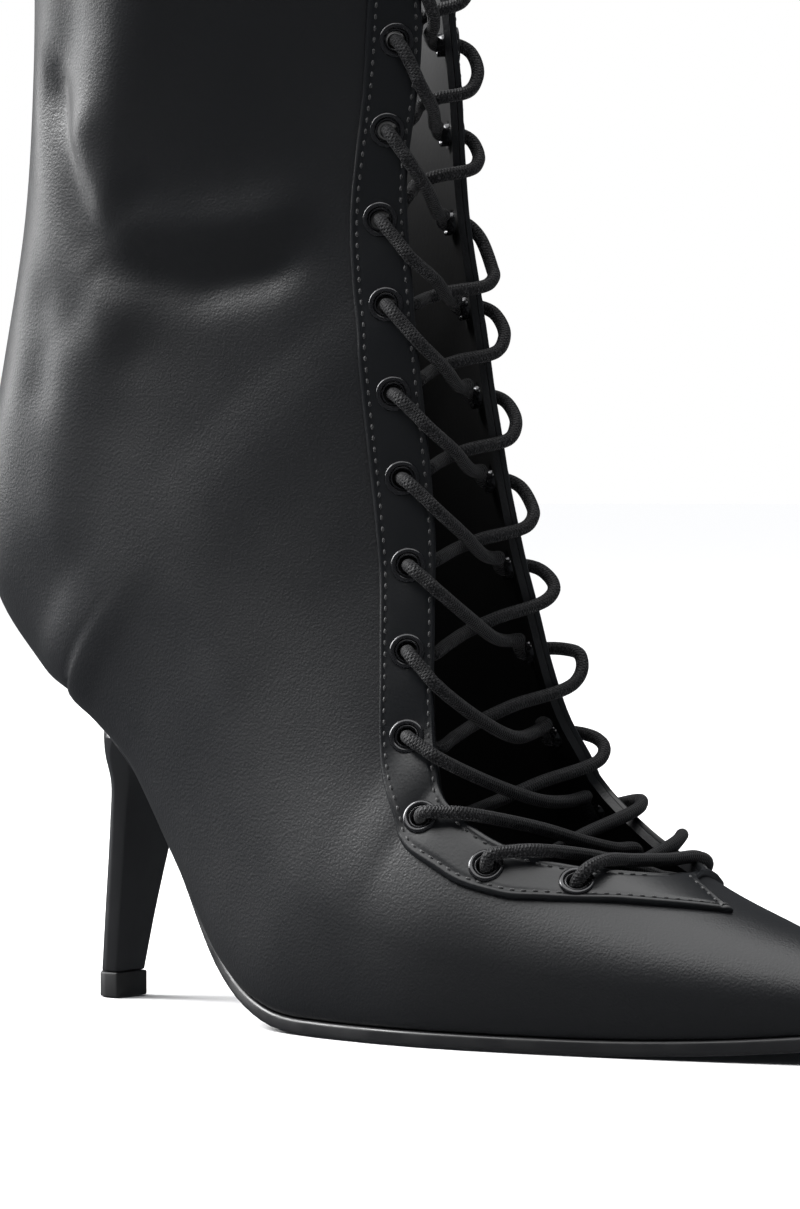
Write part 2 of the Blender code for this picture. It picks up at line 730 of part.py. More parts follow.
def main():
    clear_scene()
    leather = material("black_leather", (0.012, 0.013, 0.015), 0.38)
    eyestay_leather = material("eyestay_leather", (0.011, 0.012, 0.014), 0.34)
    sole_rubber = material("sole_rubber", (0.012, 0.012, 0.013), 0.5)
    heel_paint = material("heel_cover", (0.012, 0.012, 0.014), 0.42)
    tip_rubber = material("heel_tip_rubber", (0.014, 0.014, 0.015), 0.6)
    board = material("insole_lining", (0.016, 0.015, 0.015), 0.75)
    eyelet_metal = material("eyelet_metal", (0.03, 0.03, 0.032), 0.22, 0.9)
    cord = material("waxed_cord", (0.018, 0.018, 0.02), 0.65)

    places = eyelet_places()
    make_upper(leather, places)
    make_eyestay(eyestay_leather, places)
    make_outsole(sole_rubber)
    make_insole(board)
    make_heel(heel_paint)
    make_heel_tip(tip_rubber)
    for number, place in enumerate(places, start=1):
        make_eyelet(f"eyelet_outer_{number:02d}", place, -1, eyelet_metal)
        make_eyelet(f"eyelet_inner_{number:02d}", place, 1, eyelet_metal)
    make_bar("lace_bar", places[0], cord)
    for number, (lower, upper) in enumerate(zip(places, places[1:]), start=1):
        make_crossing(f"lace_crossing_{number:02d}", upper, lower, cord)


main()
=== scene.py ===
"""Lace up ankle boot for the right foot, dressed in leather, thread, metal and cord.

Sizes are in millimetres and become metres where a mesh is made. A place counts along
the sections of the upper from the toe tip, and a turn goes round one section, from -1
at the outer edge of the sole, through 0 at the ridge, to 1 at the inner edge.
"""
import functools
import math

import bmesh
import bpy
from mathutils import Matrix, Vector


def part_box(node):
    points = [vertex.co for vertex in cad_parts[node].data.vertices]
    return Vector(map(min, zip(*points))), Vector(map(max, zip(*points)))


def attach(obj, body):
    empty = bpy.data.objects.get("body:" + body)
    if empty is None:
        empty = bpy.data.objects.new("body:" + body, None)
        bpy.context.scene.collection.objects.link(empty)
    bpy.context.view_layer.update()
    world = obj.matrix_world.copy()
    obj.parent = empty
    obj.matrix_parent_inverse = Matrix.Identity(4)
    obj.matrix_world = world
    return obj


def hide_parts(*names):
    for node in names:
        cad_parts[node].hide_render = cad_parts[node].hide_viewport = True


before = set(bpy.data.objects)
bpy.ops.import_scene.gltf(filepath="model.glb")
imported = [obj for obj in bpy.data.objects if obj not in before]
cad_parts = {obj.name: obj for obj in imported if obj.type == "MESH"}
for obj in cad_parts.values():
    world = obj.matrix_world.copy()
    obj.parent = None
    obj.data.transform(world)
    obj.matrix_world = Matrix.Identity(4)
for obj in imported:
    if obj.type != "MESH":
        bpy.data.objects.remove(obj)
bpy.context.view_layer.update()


# The upper
# One shell of soft grained leather over a lining, pulled over a last. It is open at the
# collar, along the laced throat and underneath, and creases softly behind the ankle.

MM = 0.001
LENGTH = 238.0
SHAFT_HEIGHT = 234.0
SEAT_HEIGHT = 66.0
BALL_WIDTH = 77.0
COLLAR_WIDTH = 89.0
WALL = 2.0
GAP = 0.3
SOLE_THICKNESS = 3.0
LASTING_MARGIN = 6.0
TOE_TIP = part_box("upper")[1].x / MM

SECTION_COLUMNS = (
    "ridge_x", "ridge_z", "low_x", "low_z", "mid_y", "out_w", "in_w",
    "out_f", "in_f", "belly", "ridge_n", "low_n",
)
SECTIONS = (
    (0.9985, 0.135, 1.0000, 0.085, 0.10, 0.03, 0.03, 0.02, 0.02, 0.45, 2.00, 2.0),
    (0.9920, 0.150, 0.9945, 0.080, 0.10, 0.09, 0.09, 0.07, 0.07, 0.45, 2.00, 2.0),
    (0.9640, 0.200, 0.9660, 0.062, 0.09, 0.20, 0.19, 0.17, 0.16, 0.42, 2.00, 2.1),
    (0.9080, 0.295, 0.9080, 0.038, 0.08, 0.35, 0.34, 0.30, 0.29, 0.40, 2.00, 2.2),
    (0.8400, 0.380, 0.8370, 0.016, 0.07, 0.53, 0.51, 0.47, 0.45, 0.38, 2.00, 2.2),
    (0.7650, 0.482, 0.7560, 0.003, 0.05, 0.71, 0.68, 0.64, 0.61, 0.37, 1.95, 2.2),
    (0.6850, 0.632, 0.6600, 0.000, 0.03, 0.88, 0.84, 0.80, 0.76, 0.35, 1.90, 2.2),
    (0.6300, 0.812, 0.5700, 0.000, 0.02, 0.99, 0.95, 0.90, 0.85, 0.34, 1.85, 2.2),
    (0.5966, 0.998, 0.4800, 0.000, 0.01, 1.00, 0.97, 0.89, 0.82, 0.34, 1.80, 2.2),
    (0.5756, 1.083, 0.3980, 0.020, 0.00, 0.98, 0.94, 0.80, 0.70, 0.34, 1.75, 2.1),
    (0.5588, 1.190, 0.3260, 0.150, 0.00, 0.94, 0.91, 0.68, 0.58, 0.36, 1.68, 2.0),
    (0.5441, 1.290, 0.2580, 0.470, 0.00, 0.91, 0.88, 0.58, 0.54, 0.38, 1.60, 2.0),
    (0.5294, 1.410, 0.2020, 0.790, 0.00, 0.90, 0.88, 0.57, 0.56, 0.40, 1.54, 2.1),
    (0.5176, 1.520, 0.1550, 0.920, 0.00, 0.91, 0.90, 0.46, 0.46, 0.42, 1.50, 2.3),
    (0.5134, 1.560, 0.1080, 0.995, 0.00, 0.92, 0.92, 0.00, 0.00, 0.43, 1.50, 3.2),
    (0.5084, 1.615, 0.0420, 1.030, 0.00, 0.93, 0.93, 0.00, 0.00, 0.44, 1.48, 2.3),
    (0.5025, 1.690, -0.0170, 1.119, 0.00, 0.94, 0.94, 0.00, 0.00, 0.45, 1.46, 2.2),
    (0.4958, 1.775, -0.0350, 1.238, 0.00, 0.96, 0.96, 0.00, 0.00, 0.46, 1.46, 2.1),
    (0.4874, 1.860, -0.0120, 1.381, 0.00, 0.99, 0.99, 0.00, 0.00, 0.47, 1.46, 2.0),
    (0.4798, 1.930, 0.0260, 1.589, 0.00, 1.04, 1.04, 0.00, 0.00, 0.48, 1.46, 2.0),
    (0.4748, 1.975, 0.0460, 1.798, 0.00, 1.10, 1.10, 0.00, 0.00, 0.48, 1.46, 2.0),
    (0.4723, 2.000, 0.0540, 2.000, 0.00, 1.16, 1.16, 0.00, 0.00, 0.49, 1.46, 2.0),
)
SEAT_END = 14
COLLAR = len(SECTIONS) - 1
WINDOW_START = 3.3
WINDOW_END = SEAT_END - 0.55
INNER_START = 2.0

THROAT_WIDTH = 54.0
EYESTAY_WIDTH = 12.0
THROAT_COLUMNS = ("place", "half_gap", "reach")
THROAT = (
    (4.30, 0.00, 0.45),
    (4.70, 0.00, 0.93),
    (5.12, 0.00, 1.42),
    (5.16, 0.14, 1.15),
    (5.24, 0.25, 0.99),
    (5.45, 0.43, 0.83),
    (5.85, 0.67, 0.70),
    (6.30, 0.84, 0.66),
    (7.00, 0.97, 0.63),
    (7.60, 1.00, 0.60),
    (8.30, 0.90, 0.66),
    (9.00, 0.77, 0.74),
    (10.0, 0.60, 0.74),
    (11.0, 0.47, 0.72),
    (12.0, 0.42, 0.70),
    (14.0, 0.38, 0.66),
    (16.0, 0.33, 0.62),
    (18.0, 0.18, 0.74),
    (19.5, 0.15, 0.76),
    (21.0, 0.13, 0.80),
)
THROAT_END = THROAT[2][0]
EYESTAY_END = THROAT[0][0]
NOTCH_END = 5.02
INNER_SLANT = 0.43

# Soft folds behind the ankle: height and width in millimetres, then the line that
# each runs along as places and turns on the outer side.
FOLDS = (
    (-2.6, 5.5, ((19.7, -0.66), (19.2, -0.625), (18.6, -0.575), (18.1, -0.525),
                 (17.5, -0.45), (17.1, -0.40), (16.5, -0.34), (16.1, -0.275))),
    (1.7, 6.0, ((19.0, -0.55), (18.4, -0.50), (17.9, -0.45), (17.5, -0.39),
                (17.1, -0.33), (16.7, -0.27))),
    (1.3, 8.0, ((20.9, -0.40), (20.4, -0.42), (20.0, -0.43), (19.6, -0.46), (19.2, -0.52))),
    (-1.5, 7.0, ((20.8, -0.60), (20.1, -0.60), (19.6, -0.625))),
    (1.1, 8.0, ((17.05, -0.45), (16.8, -0.47))),
    (-0.8, 6.0, ((17.3, -0.53), (16.75, -0.50), (16.4, -0.44))),
    (1.0, 9.0, ((16.8, -0.53), (16.2, -0.55), (15.8, -0.575), (15.5, -0.60))),
    (-1.2, 7.0, ((17.9, -0.62), (17.5, -0.60), (17.1, -0.60))),
    (-1.3, 7.0, ((19.4, 0.66), (18.7, 0.58), (18.0, 0.50), (17.4, 0.42))),
    (1.0, 8.0, ((17.0, 0.50), (16.2, 0.56))),
)


def smooth_at(rows, place):
    """Catmull-Rom value of every column of a table at a place between its rows."""
    last = len(rows) - 1
    first = min(int(place), last - 1)
    share = place - first
    before, start, end, after = (
        rows[max(first - 1, 0)], rows[first], rows[first + 1], rows[min(first + 2, last)]
    )
    values = []
    for p0, p1, p2, p3 in zip(before, start, end, after):
        values.append(0.5 * (
            2.0 * p1
            + (p2 - p0) * share
            + (2.0 * p0 - 5.0 * p1 + 4.0 * p2 - p3) * share ** 2
            + (3.0 * p1 - p0 - 3.0 * p2 + p3) * share ** 3
        ))
    return values


def table_slope(rows, index, column):
    """Slope of a table's column at a row, flat where it turns."""
    before, here, after = rows[max(index - 1, 0)], rows[index], rows[min(index + 1, len(rows) - 1)]
    if before is here or after is here:
        return (after[column] - before[column]) / (after[0] - before[0])
    down = (here[column] - before[column]) / (here[0] - before[0])
    up = (after[column] - here[column]) / (after[0] - here[0])
    return 2.0 * down * up / (down + up) if down * up > 0.0 else 0.0


def table_at(rows, place):
    """Smooth values of the last columns of a table whose first column is the place."""
    place = min(max(place, rows[0][0]), rows[-1][0])
    index = next(i for i in range(len(rows) - 1) if place <= rows[i + 1][0])
    start, end = rows[index], rows[index + 1]
    span = end[0] - start[0]
    t = (place - start[0]) / span
    values = []
    for column in range(1, len(start)):
        values.append(
            start[column] * (1.0 + 2.0 * t) * (1.0 - t) ** 2
            + end[column] * t * t * (3.0 - 2.0 * t)
            + table_slope(rows, index, column) * span * t * (1.0 - t) ** 2
            - table_slope(rows, index + 1, column) * span * t * t * (1.0 - t))
    return values


def rise(share):
    """Height in millimetres of a share: 0 sole top, 1 heel seat, 2 collar."""
    bottom = SOLE_THICKNESS + GAP
    if share <= 1.0:
        return bottom + share * (SEAT_HEIGHT - bottom)
    return SEAT_HEIGHT + (share - 1.0) * (SHAFT_HEIGHT - SEAT_HEIGHT)


def half_width(place):
    """Half of the width that the shares of a section are counted in."""
    blend = min(max((place - SEAT_END) / (COLLAR - SEAT_END), 0.0), 1.0)
    collar_share = SECTIONS[COLLAR][SECTION_COLUMNS.index("out_w")]
    return 0.5 * (BALL_WIDTH * (1.0 - blend) + COLLAR_WIDTH / collar_share * blend)


def seat_rounding(place):
    """1 along the sole, falling in a round end to 0 at the back of the heel seat."""
    start = SEAT_END - 2.0
    if place <= start:
        return 1.0
    if place >= SEAT_END:
        return 0.0
    shares = dict(zip(SECTION_COLUMNS, smooth_at(SECTIONS, place)))
    full = SECTIONS[int(start)][SECTION_COLUMNS.index("out_f")]
    along = (place - start) / (SEAT_END - start)
    return full * math.sqrt(1.0 - along ** 2) / max(shares["out_f"], 0.02)


@functools.lru_cache(maxsize=None)
def section(place):
    """Sizes of the section at a place along the boot, in millimetres."""
    shares = dict(zip(SECTION_COLUMNS, smooth_at(SECTIONS, place)))
    half = half_width(place)
    flat = seat_rounding(place)
    start = TOE_TIP - LENGTH
    low_height = rise(max(shares["low_z"], 0.0))
    return {
        "ridge": Vector((start + shares["ridge_x"] * LENGTH, 0.0, rise(shares["ridge_z"]))),
        "low": Vector((start + shares["low_x"] * LENGTH, 0.0, low_height)),
        "mid": shares["mid_y"] * half,
        "width": {-1: shares["out_w"] * half, 1: shares["in_w"] * half},
        "flat": {-1: shares["out_f"] * half * flat, 1: shares["in_f"] * half * flat},
        "belly": shares["belly"],
        "ridge_n": shares["ridge_n"],
        "low_n": shares["low_n"],
    }


def on_section(sizes, turn, inset=0.0):
    """Point of a section at a turn, moved inwards by an inset."""
    side = -1 if turn < 0.0 else 1
    amount = abs(turn)
    wide = sizes["width"][side] - inset
    flat = max(sizes["flat"][side] - inset, 0.0)
    belly = sizes["belly"]
    if amount <= 0.5:
        angle = (1.0 - 2.0 * amount) * math.pi / 2.0
        power = 2.0 / sizes["ridge_n"]
        across = wide * max(math.cos(angle), 0.0) ** power
        along = belly + (1.0 - belly) * max(math.sin(angle), 0.0) ** power
    else:
        angle = (2.0 * amount - 1.0) * math.pi / 2.0
        power = 2.0 / sizes["low_n"]
        across = flat + (wide - flat) * max(math.cos(angle), 0.0) ** power
        along = belly * (1.0 - max(math.sin(angle), 0.0) ** power)
    upward = sizes["ridge"] - sizes["low"]
    along = inset + along * (upward.length - 2.0 * inset)
    point = sizes["low"] + upward.normalized() * along
    point.y = sizes["mid"] + side * across
    return point


def turn_at(sizes, across):
    """The turn on a section's upper quarter that lies across millimetres from its middle."""
    side = -1 if across < 0.0 else 1
    share = min(abs(across) / sizes["width"][side], 1.0)
    angle = math.acos(share ** (sizes["ridge_n"] / 2.0))
    return side * (1.0 - angle / (math.pi / 2.0)) / 2.0


def outward(place, turn):
    """Direction square out of the upper."""
    step = 0.05
    ahead = on_section(section(min(place + step, COLLAR)), turn)
    behind = on_section(section(max(place - step, 0.0)), turn)
    left = on_section(section(place), max(turn - step, -1.0))
    right = on_section(section(place), min(turn + step, 1.0))
    return (right - left).cross(ahead - behind).normalized()


def fold_line(route):
    """The points that a fold runs along, a few between each pair of its own."""
    line = []
    for (place_a, turn_a), (place_b, turn_b) in zip(route, route[1:]):
        for step in range(5):
            share = step / 5.0
            place = place_a + (place_b - place_a) * share
            line.append(on_section(section(place), turn_a + (turn_b - turn_a) * share))
    line.append(on_section(section(route[-1][0]), route[-1][1]))
    return line


FOLD_LINES = [(height, width, fold_line(route)) for height, width, route in FOLDS]


@functools.lru_cache(maxsize=None)
def fold_lift(place, turn):
    """How far the leather stands out of its plain form at a place and turn."""
    if place < 14.5:
        return 0.0
    point = on_section(section(place), turn)
    lift = 0.0
    for height, width, line in FOLD_LINES:
        near = min((point - spot).length for spot in line)
        if near < 3.0 * width:
            lift += height * math.exp(-(near / width) ** 2)
    return lift


def leather_point(place, turn, lift=0.0, inset=0.0):
    """Point of the creased leather, lift millimetres outside it or inset inside it."""
    point = on_section(section(place), turn, inset)
    amount = lift + fold_lift(round(place, 4), round(turn, 4))
    if amount:
        point = point + outward(place, turn) * amount
    return point


THROAT_EDGE = [(place, gap * THROAT_WIDTH / 2.0) for place, gap, reach in THROAT]
BAND_EDGE = [
    (place, gap * THROAT_WIDTH / 2.0 + reach * EYESTAY_WIDTH) for place, gap, reach in THROAT]


def throat_half(place):
    """Half opening of the throat in millimetres."""
    return table_at(THROAT_EDGE, place)[0]


def eyestay_half(place):
    """Half width out to the eyestay's seam in millimetres."""
    return table_at(BAND_EDGE, place)[0]


def mesh_piece(name, points, faces, finish, angle=40.0, marks=None):
    """A shaded mesh object from points in millimetres. marks gives a face's material."""
    mesh = bpy.data.meshes.new(name)
    mesh.from_pydata([point * MM for point in points], [], faces)
    for material in finish:
        mesh.materials.append(material)
    if marks:
        mesh.polygons.foreach_set("material_index", marks)
    shape = bmesh.new()
    shape.from_mesh(mesh)
    bmesh.ops.remove_doubles(shape, verts=shape.verts, dist=0.000004)
    bmesh.ops.dissolve_degenerate(shape, edges=shape.edges, dist=0.000004)
    bmesh.ops.recalc_face_normals(shape, faces=shape.faces)
    shape.to_mesh(mesh)
    shape.free()
    mesh.shade_smooth()
    mesh.set_sharp_from_angle(angle=math.radians(angle))
    piece = bpy.data.objects.new(name, mesh)
    bpy.context.collection.objects.link(piece)
    return piece


def new_finish(name, colour, roughness, metallic=0.0, specular=0.5):
    """A Principled material and the parts of it that a finish builds on."""
    finish = bpy.data.materials.new(name)
    finish.use_nodes = True
    nodes = finish.node_tree.nodes
    shader = nodes["Principled BSDF"]
    shader.inputs["Base Color"].default_value = (*colour, 1.0)
    shader.inputs["Roughness"].default_value = roughness
    shader.inputs["Metallic"].default_value = metallic
    shader.inputs["Specular IOR Level"].default_value = specular
    return finish, nodes, finish.node_tree.links, shader


def new_group(name, inputs, outputs):
    """An empty shader node group with named value sockets."""
    group = bpy.data.node_groups.new(name, "ShaderNodeTree")
    for label, value in inputs.items():
        socket = group.interface.new_socket(label, in_out="INPUT", socket_type="NodeSocketFloat")
        socket.default_value = value
    for label in outputs:
        group.interface.new_socket(label, in_out="OUTPUT", socket_type="NodeSocketFloat")
    source = group.nodes.new("NodeGroupInput")
    sink = group.nodes.new("NodeGroupOutput")
    return group, source, sink


def grain_group():
    """Pebbled leather: small cells with fine pores, and slow changes of gloss."""
    group, source, sink = new_group(
        "leather_grain", {"Cells": 1300.0, "Pores": 4200.0, "Clouds": 22.0}, ("Height", "Gloss"),
    )
    nodes, links = group.nodes, group.links
    place = nodes.new("ShaderNodeTexCoord")
    cells = nodes.new("ShaderNodeTexVoronoi")
    cells.feature = "SMOOTH_F1"
    pores = nodes.new("ShaderNodeTexNoise")
    pores.inputs["Detail"].default_value = 3.0
    clouds = nodes.new("ShaderNodeTexNoise")
    clouds.inputs["Detail"].default_value = 4.0
    for texture, label in ((cells, "Cells"), (pores, "Pores"), (clouds, "Clouds")):
        links.new(place.outputs["Object"], texture.inputs["Vector"])
        links.new(source.outputs[label], texture.inputs["Scale"])
    total = nodes.new("ShaderNodeMath")
    total.operation = "MULTIPLY_ADD"
    total.inputs[1].default_value = 0.55
    links.new(pores.outputs["Fac"], total.inputs[0])
    links.new(cells.outputs["Distance"], total.inputs[2])
    links.new(total.outputs[0], sink.inputs["Height"])
    links.new(clouds.outputs["Fac"], sink.inputs["Gloss"])
    return group


LEATHER_GRAIN = grain_group()


def leather_finish(name, colour, smooth, rough, cells, depth, strength):
    """Grained leather whose roughness drifts between two values."""
    finish, nodes, links, shader = new_finish(name, colour, rough)
    grain = nodes.new("ShaderNodeGroup")
    grain.node_tree = LEATHER_GRAIN
    grain.inputs["Cells"].default_value = cells
    gloss = nodes.new("ShaderNodeMapRange")
    gloss.inputs["From Min"].default_value = 0.35
    gloss.inputs["From Max"].default_value = 0.65
    gloss.inputs["To Min"].default_value = smooth
    gloss.inputs["To Max"].default_value = rough
    links.new(grain.outputs["Gloss"], gloss.inputs["Value"])
    links.new(gloss.outputs["Result"], shader.inputs["Roughness"])
    bump = nodes.new("ShaderNodeBump")
    bump.inputs["Strength"].default_value = strength
    bump.inputs["Distance"].default_value = depth
    links.new(grain.outputs["Height"], bump.inputs["Height"])
    links.new(bump.outputs["Normal"], shader.inputs["Normal"])
    return finish


SIDE_COLUMNS = 46
UNDER_COLUMNS = 4
UPPER_STEPS = 8


def upper_rows():
    """Places of the upper's rows, closer where the throat begins."""
    even = {step / UPPER_STEPS for step in range(UPPER_STEPS * COLLAR + 1)}
    front = {THROAT_END + extra for extra in (0.0, 0.02, 0.04, 0.08, 0.16, 0.2, 0.28, 0.33)}
    return sorted(even | front)


def upper_ring(place, side, inset):
    """One side of a row: from the throat or ridge down to the sole and in under it."""
    sizes = section(place)
    edge = abs(turn_at(sizes, side * max(throat_half(place), 0.0))) if place > THROAT_END else 0.0
    ring = []
    for column in range(SIDE_COLUMNS + 1):
        turn = side * (edge + (1.0 - edge) * column / SIDE_COLUMNS)
        ring.append(leather_point(place, turn, inset=inset))
    flat = max(sizes["flat"][side] - inset, 0.0)
    window = WINDOW_START < place < WINDOW_END
    end = max(sizes["flat"][side] - LASTING_MARGIN, 0.0) if window else 0.0
    base = ring[-1]
    for column in range(1, UNDER_COLUMNS + 1):
        across = flat + (end - flat) * column / UNDER_COLUMNS
        ring.append(Vector((base.x, sizes["mid"] + side * across, base.z)))
    return ring


def build_upper(finish):
    """The shell: an outer and an inner skin, joined along every open edge."""
    places = upper_rows()
    points, faces, marks = [], [], []
    last = SIDE_COLUMNS + UNDER_COLUMNS
    for side in (-1, 1):
        skins = []
        for inset in (0.0, WALL):
            grid = {}
            for row, place in enumerate(places):
                if inset and place < INNER_START:
                    continue
                grid[row] = len(points)
                points.extend(upper_ring(place, side, inset))
            first = min(grid)
            tip = sum((points[grid[first] + c] for c in range(last + 1)), Vector()) / (last + 1)
            tip.y = section(places[first])["mid"]
            for column in range(last):
                faces.append((len(points), grid[first] + column, grid[first] + column + 1))
                marks.append(1 if inset else 0)
            points.append(tip)
            for row in sorted(grid)[:-1]:
                for column in range(last):
                    a, b = grid[row] + column, grid[row + 1] + column
                    faces.append((a, a + 1, b + 1, b))
                    marks.append(1 if inset else 0)
            skins.append(grid)
        outer, inner = skins
        for row in range(len(places) - 1):
            window = (WINDOW_START < places[row] < WINDOW_END) or (
                WINDOW_START < places[row + 1] < WINDOW_END)
            edges = [0] if places[row] >= THROAT_END else []
            edges += [last] if window else []
            for column in edges:
                faces.append((
                    outer[row] + column, outer[row + 1] + column,
                    inner[row + 1] + column, inner[row] + column,
                ))
                marks.append(0)
        top = len(places) - 1
        for column in range(last):
            faces.append((
                outer[top] + column, outer[top] + column + 1,
                inner[top] + column + 1, inner[top] + column,
            ))
            marks.append(0)
    return mesh_piece("upper_leather", points, faces, finish, 50.0, marks)


def hole_posts(places, radius, reach, sides=20):
    """Posts through the leather where the eyelets sit, joined as one cutter."""
    points, faces = [], []
    for place in places:
        for side in (-1, 1):
            centre, normal = eyelet_frame(place, side)
            across = normal.cross(Vector((0.0, 0.0, 1.0))).normalized()
            upward = across.cross(normal)
            start = len(points)
            for lift in (-reach, reach):
                for step in range(sides):
                    angle = 2.0 * math.pi * step / sides
                    spoke = across * math.cos(angle) + upward * math.sin(angle)
                    points.append(centre + normal * lift + spoke * radius)
            faces.append(tuple(start + step for step in range(sides)))
            faces.append(tuple(start + sides + step for step in range(sides)))
            for step in range(sides):
                after = (step + 1) % sides
                faces.append((start + step, start + after,
                              start + sides + after, start + sides + step))
    return mesh_piece("hole_posts", points, faces, [])


def cut(piece, cutter):
    """Take a cutter out of a piece and keep the result as its mesh."""
    modifier = piece.modifiers.new("Cut", "BOOLEAN")
    modifier.operation = "DIFFERENCE"
    modifier.solver = "EXACT"
    modifier.object = cutter
    bpy.context.view_layer.update()
    mesh = bpy.data.meshes.new_from_object(
        piece.evaluated_get(bpy.context.evaluated_depsgraph_get()))
    piece.modifiers.remove(modifier)
    piece.data = mesh
    bpy.data.objects.remove(cutter, do_unlink=True)


EYELET_COUNT = 13
EYELET_FIRST = 5.70
EYELET_LAST = 19.6
EYELET_HOLE = 4.2
EYELET_BARREL = 0.4
EYELET_FLANGE = 7.4


def eyelet_across(place):
    """Distance of an eyelet from the ridge, in the middle of the eyestay."""
    sizes = section(place)
    middle = 0.5 * (turn_at(sizes, throat_half(place)) + turn_at(sizes, eyestay_half(place)))
    return on_section(sizes, middle).y - sizes["mid"]


def eyelet_frame(place, side):
    """Centre of an eyelet on the leather, and the direction out of it."""
    turn = turn_at(section(place), side * eyelet_across(place))
    return leather_point(place, turn), outward(place, turn)


def eyelet_places():
    """Places of the eyelets, at even distances along the middle of the eyestay."""
    steps = 240
    line = []
    for step in range(steps + 1):
        place = EYELET_FIRST + (EYELET_LAST - EYELET_FIRST) * step / steps
        line.append((place, eyelet_frame(place, 1)[0]))
    walked = [0.0]
    for (_, start), (_, end) in zip(line, line[1:]):
        walked.append(walked[-1] + (end - start).length)
    places = []
    for number in range(EYELET_COUNT):
        target = walked[-1] * number / (EYELET_COUNT - 1)
        index = min(range(len(walked)), key=lambda item: abs(walked[item] - target))
        places.append(line[index][0])
    return places


EYELETS = eyelet_places()
upper_leather = leather_finish(
    "upper_leather", (0.0062, 0.0066, 0.0078), 0.36, 0.46, 2000.0, 0.0001, 0.5)
lining = leather_finish("shaft_lining", (0.007, 0.007, 0.0075), 0.6, 0.75, 900.0, 0.0001, 0.3)
upper = build_upper([upper_leather, lining])
cut(upper, hole_posts(EYELETS, EYELET_HOLE / 2.0 + EYELET_BARREL + 0.1, 6.0))
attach(upper, "root")
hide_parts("upper")


# The eyestay
# A band of smoother leather stitched round the throat, its edges folded under. Past the
# end of the throat its outer half runs out in a point, and its inner half is cut back.

EYESTAY_SEAT = 0.12
EYESTAY_TOP = 1.25
EDGE_ROUND = 0.9
STITCH_INSET = 1.7
STITCH_GROOVE = 0.16
BAND_COLUMNS = 30


def band_edges(place, side):
    """Distances of the band's two edges from the ridge."""
    inner, outer = throat_half(place), eyestay_half(place)
    if side > 0:
        outer *= min(max((place - NOTCH_END) / INNER_SLANT, 0.0), 1.0)
    elif place < NOTCH_END:
        inner = eyestay_half(EYESTAY_END) * (NOTCH_END - place) / (NOTCH_END - EYESTAY_END)
    return inner, max(outer, inner + 0.02)


def band_lift(inner, outer):
    """Height of the band over the leather at distances from its two edges."""
    near = min(inner, outer)
    lift = EYESTAY_TOP
    if near < EDGE_ROUND:
        share = 1.0 - near / EDGE_ROUND
        lift -= (EYESTAY_TOP - 0.75) * (1.0 - math.sqrt(max(1.0 - share * share, 0.0)))
    for distance in (inner, outer):
        lift -= STITCH_GROOVE * math.exp(-((distance - STITCH_INSET) / 0.45) ** 2)
        lift += 0.12 * math.exp(-((distance - 0.9) / 0.5) ** 2)
    return lift


def eyestay_rows(front):
    """Places of the band's rows from its front point, closer round that end."""
    even = [EYESTAY_END + (COLLAR - EYESTAY_END) * (step / 190.0) ** 1.25 for step in range(191)]
    ends = {front, NOTCH_END, THROAT_END, THROAT_END + 0.02, THROAT_END + 0.04}
    return sorted({place for place in even if place > front} | ends)


def pucker(place, side, across):
    """The leather draws down a little round each eyelet and swells between them."""
    dip = 0.0
    for number, spot in enumerate(EYELETS):
        if abs(place - spot) < 1.0:
            centre, _ = eyelet_frame(spot, side)
            here = on_section(section(place), turn_at(section(place), side * across))
            dip -= 0.35 * math.exp(-((here - centre).length / 4.6) ** 2)
    return dip


def build_eyestay(finish):
    """Both sides of the band as one closed piece."""
    points, faces = [], []
    for side in (-1, 1):
        rows = eyestay_rows(EYESTAY_END if side < 0 else NOTCH_END)
        rings = []
        for place in rows:
            sizes = section(place)
            inner, outer = band_edges(place, side)
            turn_in = abs(turn_at(sizes, side * inner))
            turn_out = abs(turn_at(sizes, side * outer))
            start = on_section(sizes, side * turn_in)
            end = on_section(sizes, side * turn_out)
            width = (end - start).length
            ring = []
            joined = inner == 0.0
            for column in range(BAND_COLUMNS + 1):
                # columns crowd towards both edges
                share = 0.5 - 0.5 * math.cos(math.pi * column / BAND_COLUMNS)
                turn = turn_in + (turn_out - turn_in) * share
                from_inner = 9.0 if joined else width * share
                across = inner + (outer - inner) * share
                lift = band_lift(from_inner, width * (1.0 - share)) + pucker(place, side, across)
                ring.append(leather_point(place, side * turn, lift))
            for column in (BAND_COLUMNS, 0):
                turn = turn_in if column == 0 else turn_out
                ring.append(leather_point(place, side * turn, EYESTAY_SEAT))
            rings.append(ring)
        count = len(rings[0])
        base = len(points)
        for ring in rings:
            points.extend(ring)
        faces.append(tuple(base + column for column in range(count)))
        faces.append(tuple(base + (len(rings) - 1) * count + column for column in range(count)))
        for row in range(len(rings) - 1):
            joined = rows[row] >= NOTCH_END and rows[row + 1] <= THROAT_END
            for column in range(count):
                # where the two sides meet in the middle there is no edge between them
                if joined and column == count - 1:
                    continue
                after = (column + 1) % count
                faces.append((
                    base + row * count + column, base + row * count + after,
                    base + (row + 1) * count + after, base + (row + 1) * count + column,
                ))
    return mesh_piece("eyestay_leather", points, faces, finish, 60.0)


eyestay_leather = leather_finish(
    "eyestay_leather", (0.004, 0.0045, 0.0055), 0.26, 0.38, 1700.0, 0.00006, 0.3)
eyestay = build_eyestay([eyestay_leather])
cut(eyestay, hole_posts(EYELETS, EYELET_HOLE / 2.0 + EYELET_BARREL + 0.1, 6.0))
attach(eyestay, "root")
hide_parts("eyestay")


# The stitching
# Black thread in short stitches, one row along each edge of the eyestay on both sides.
# It lies in the grooves that the needle pulls into the leather.

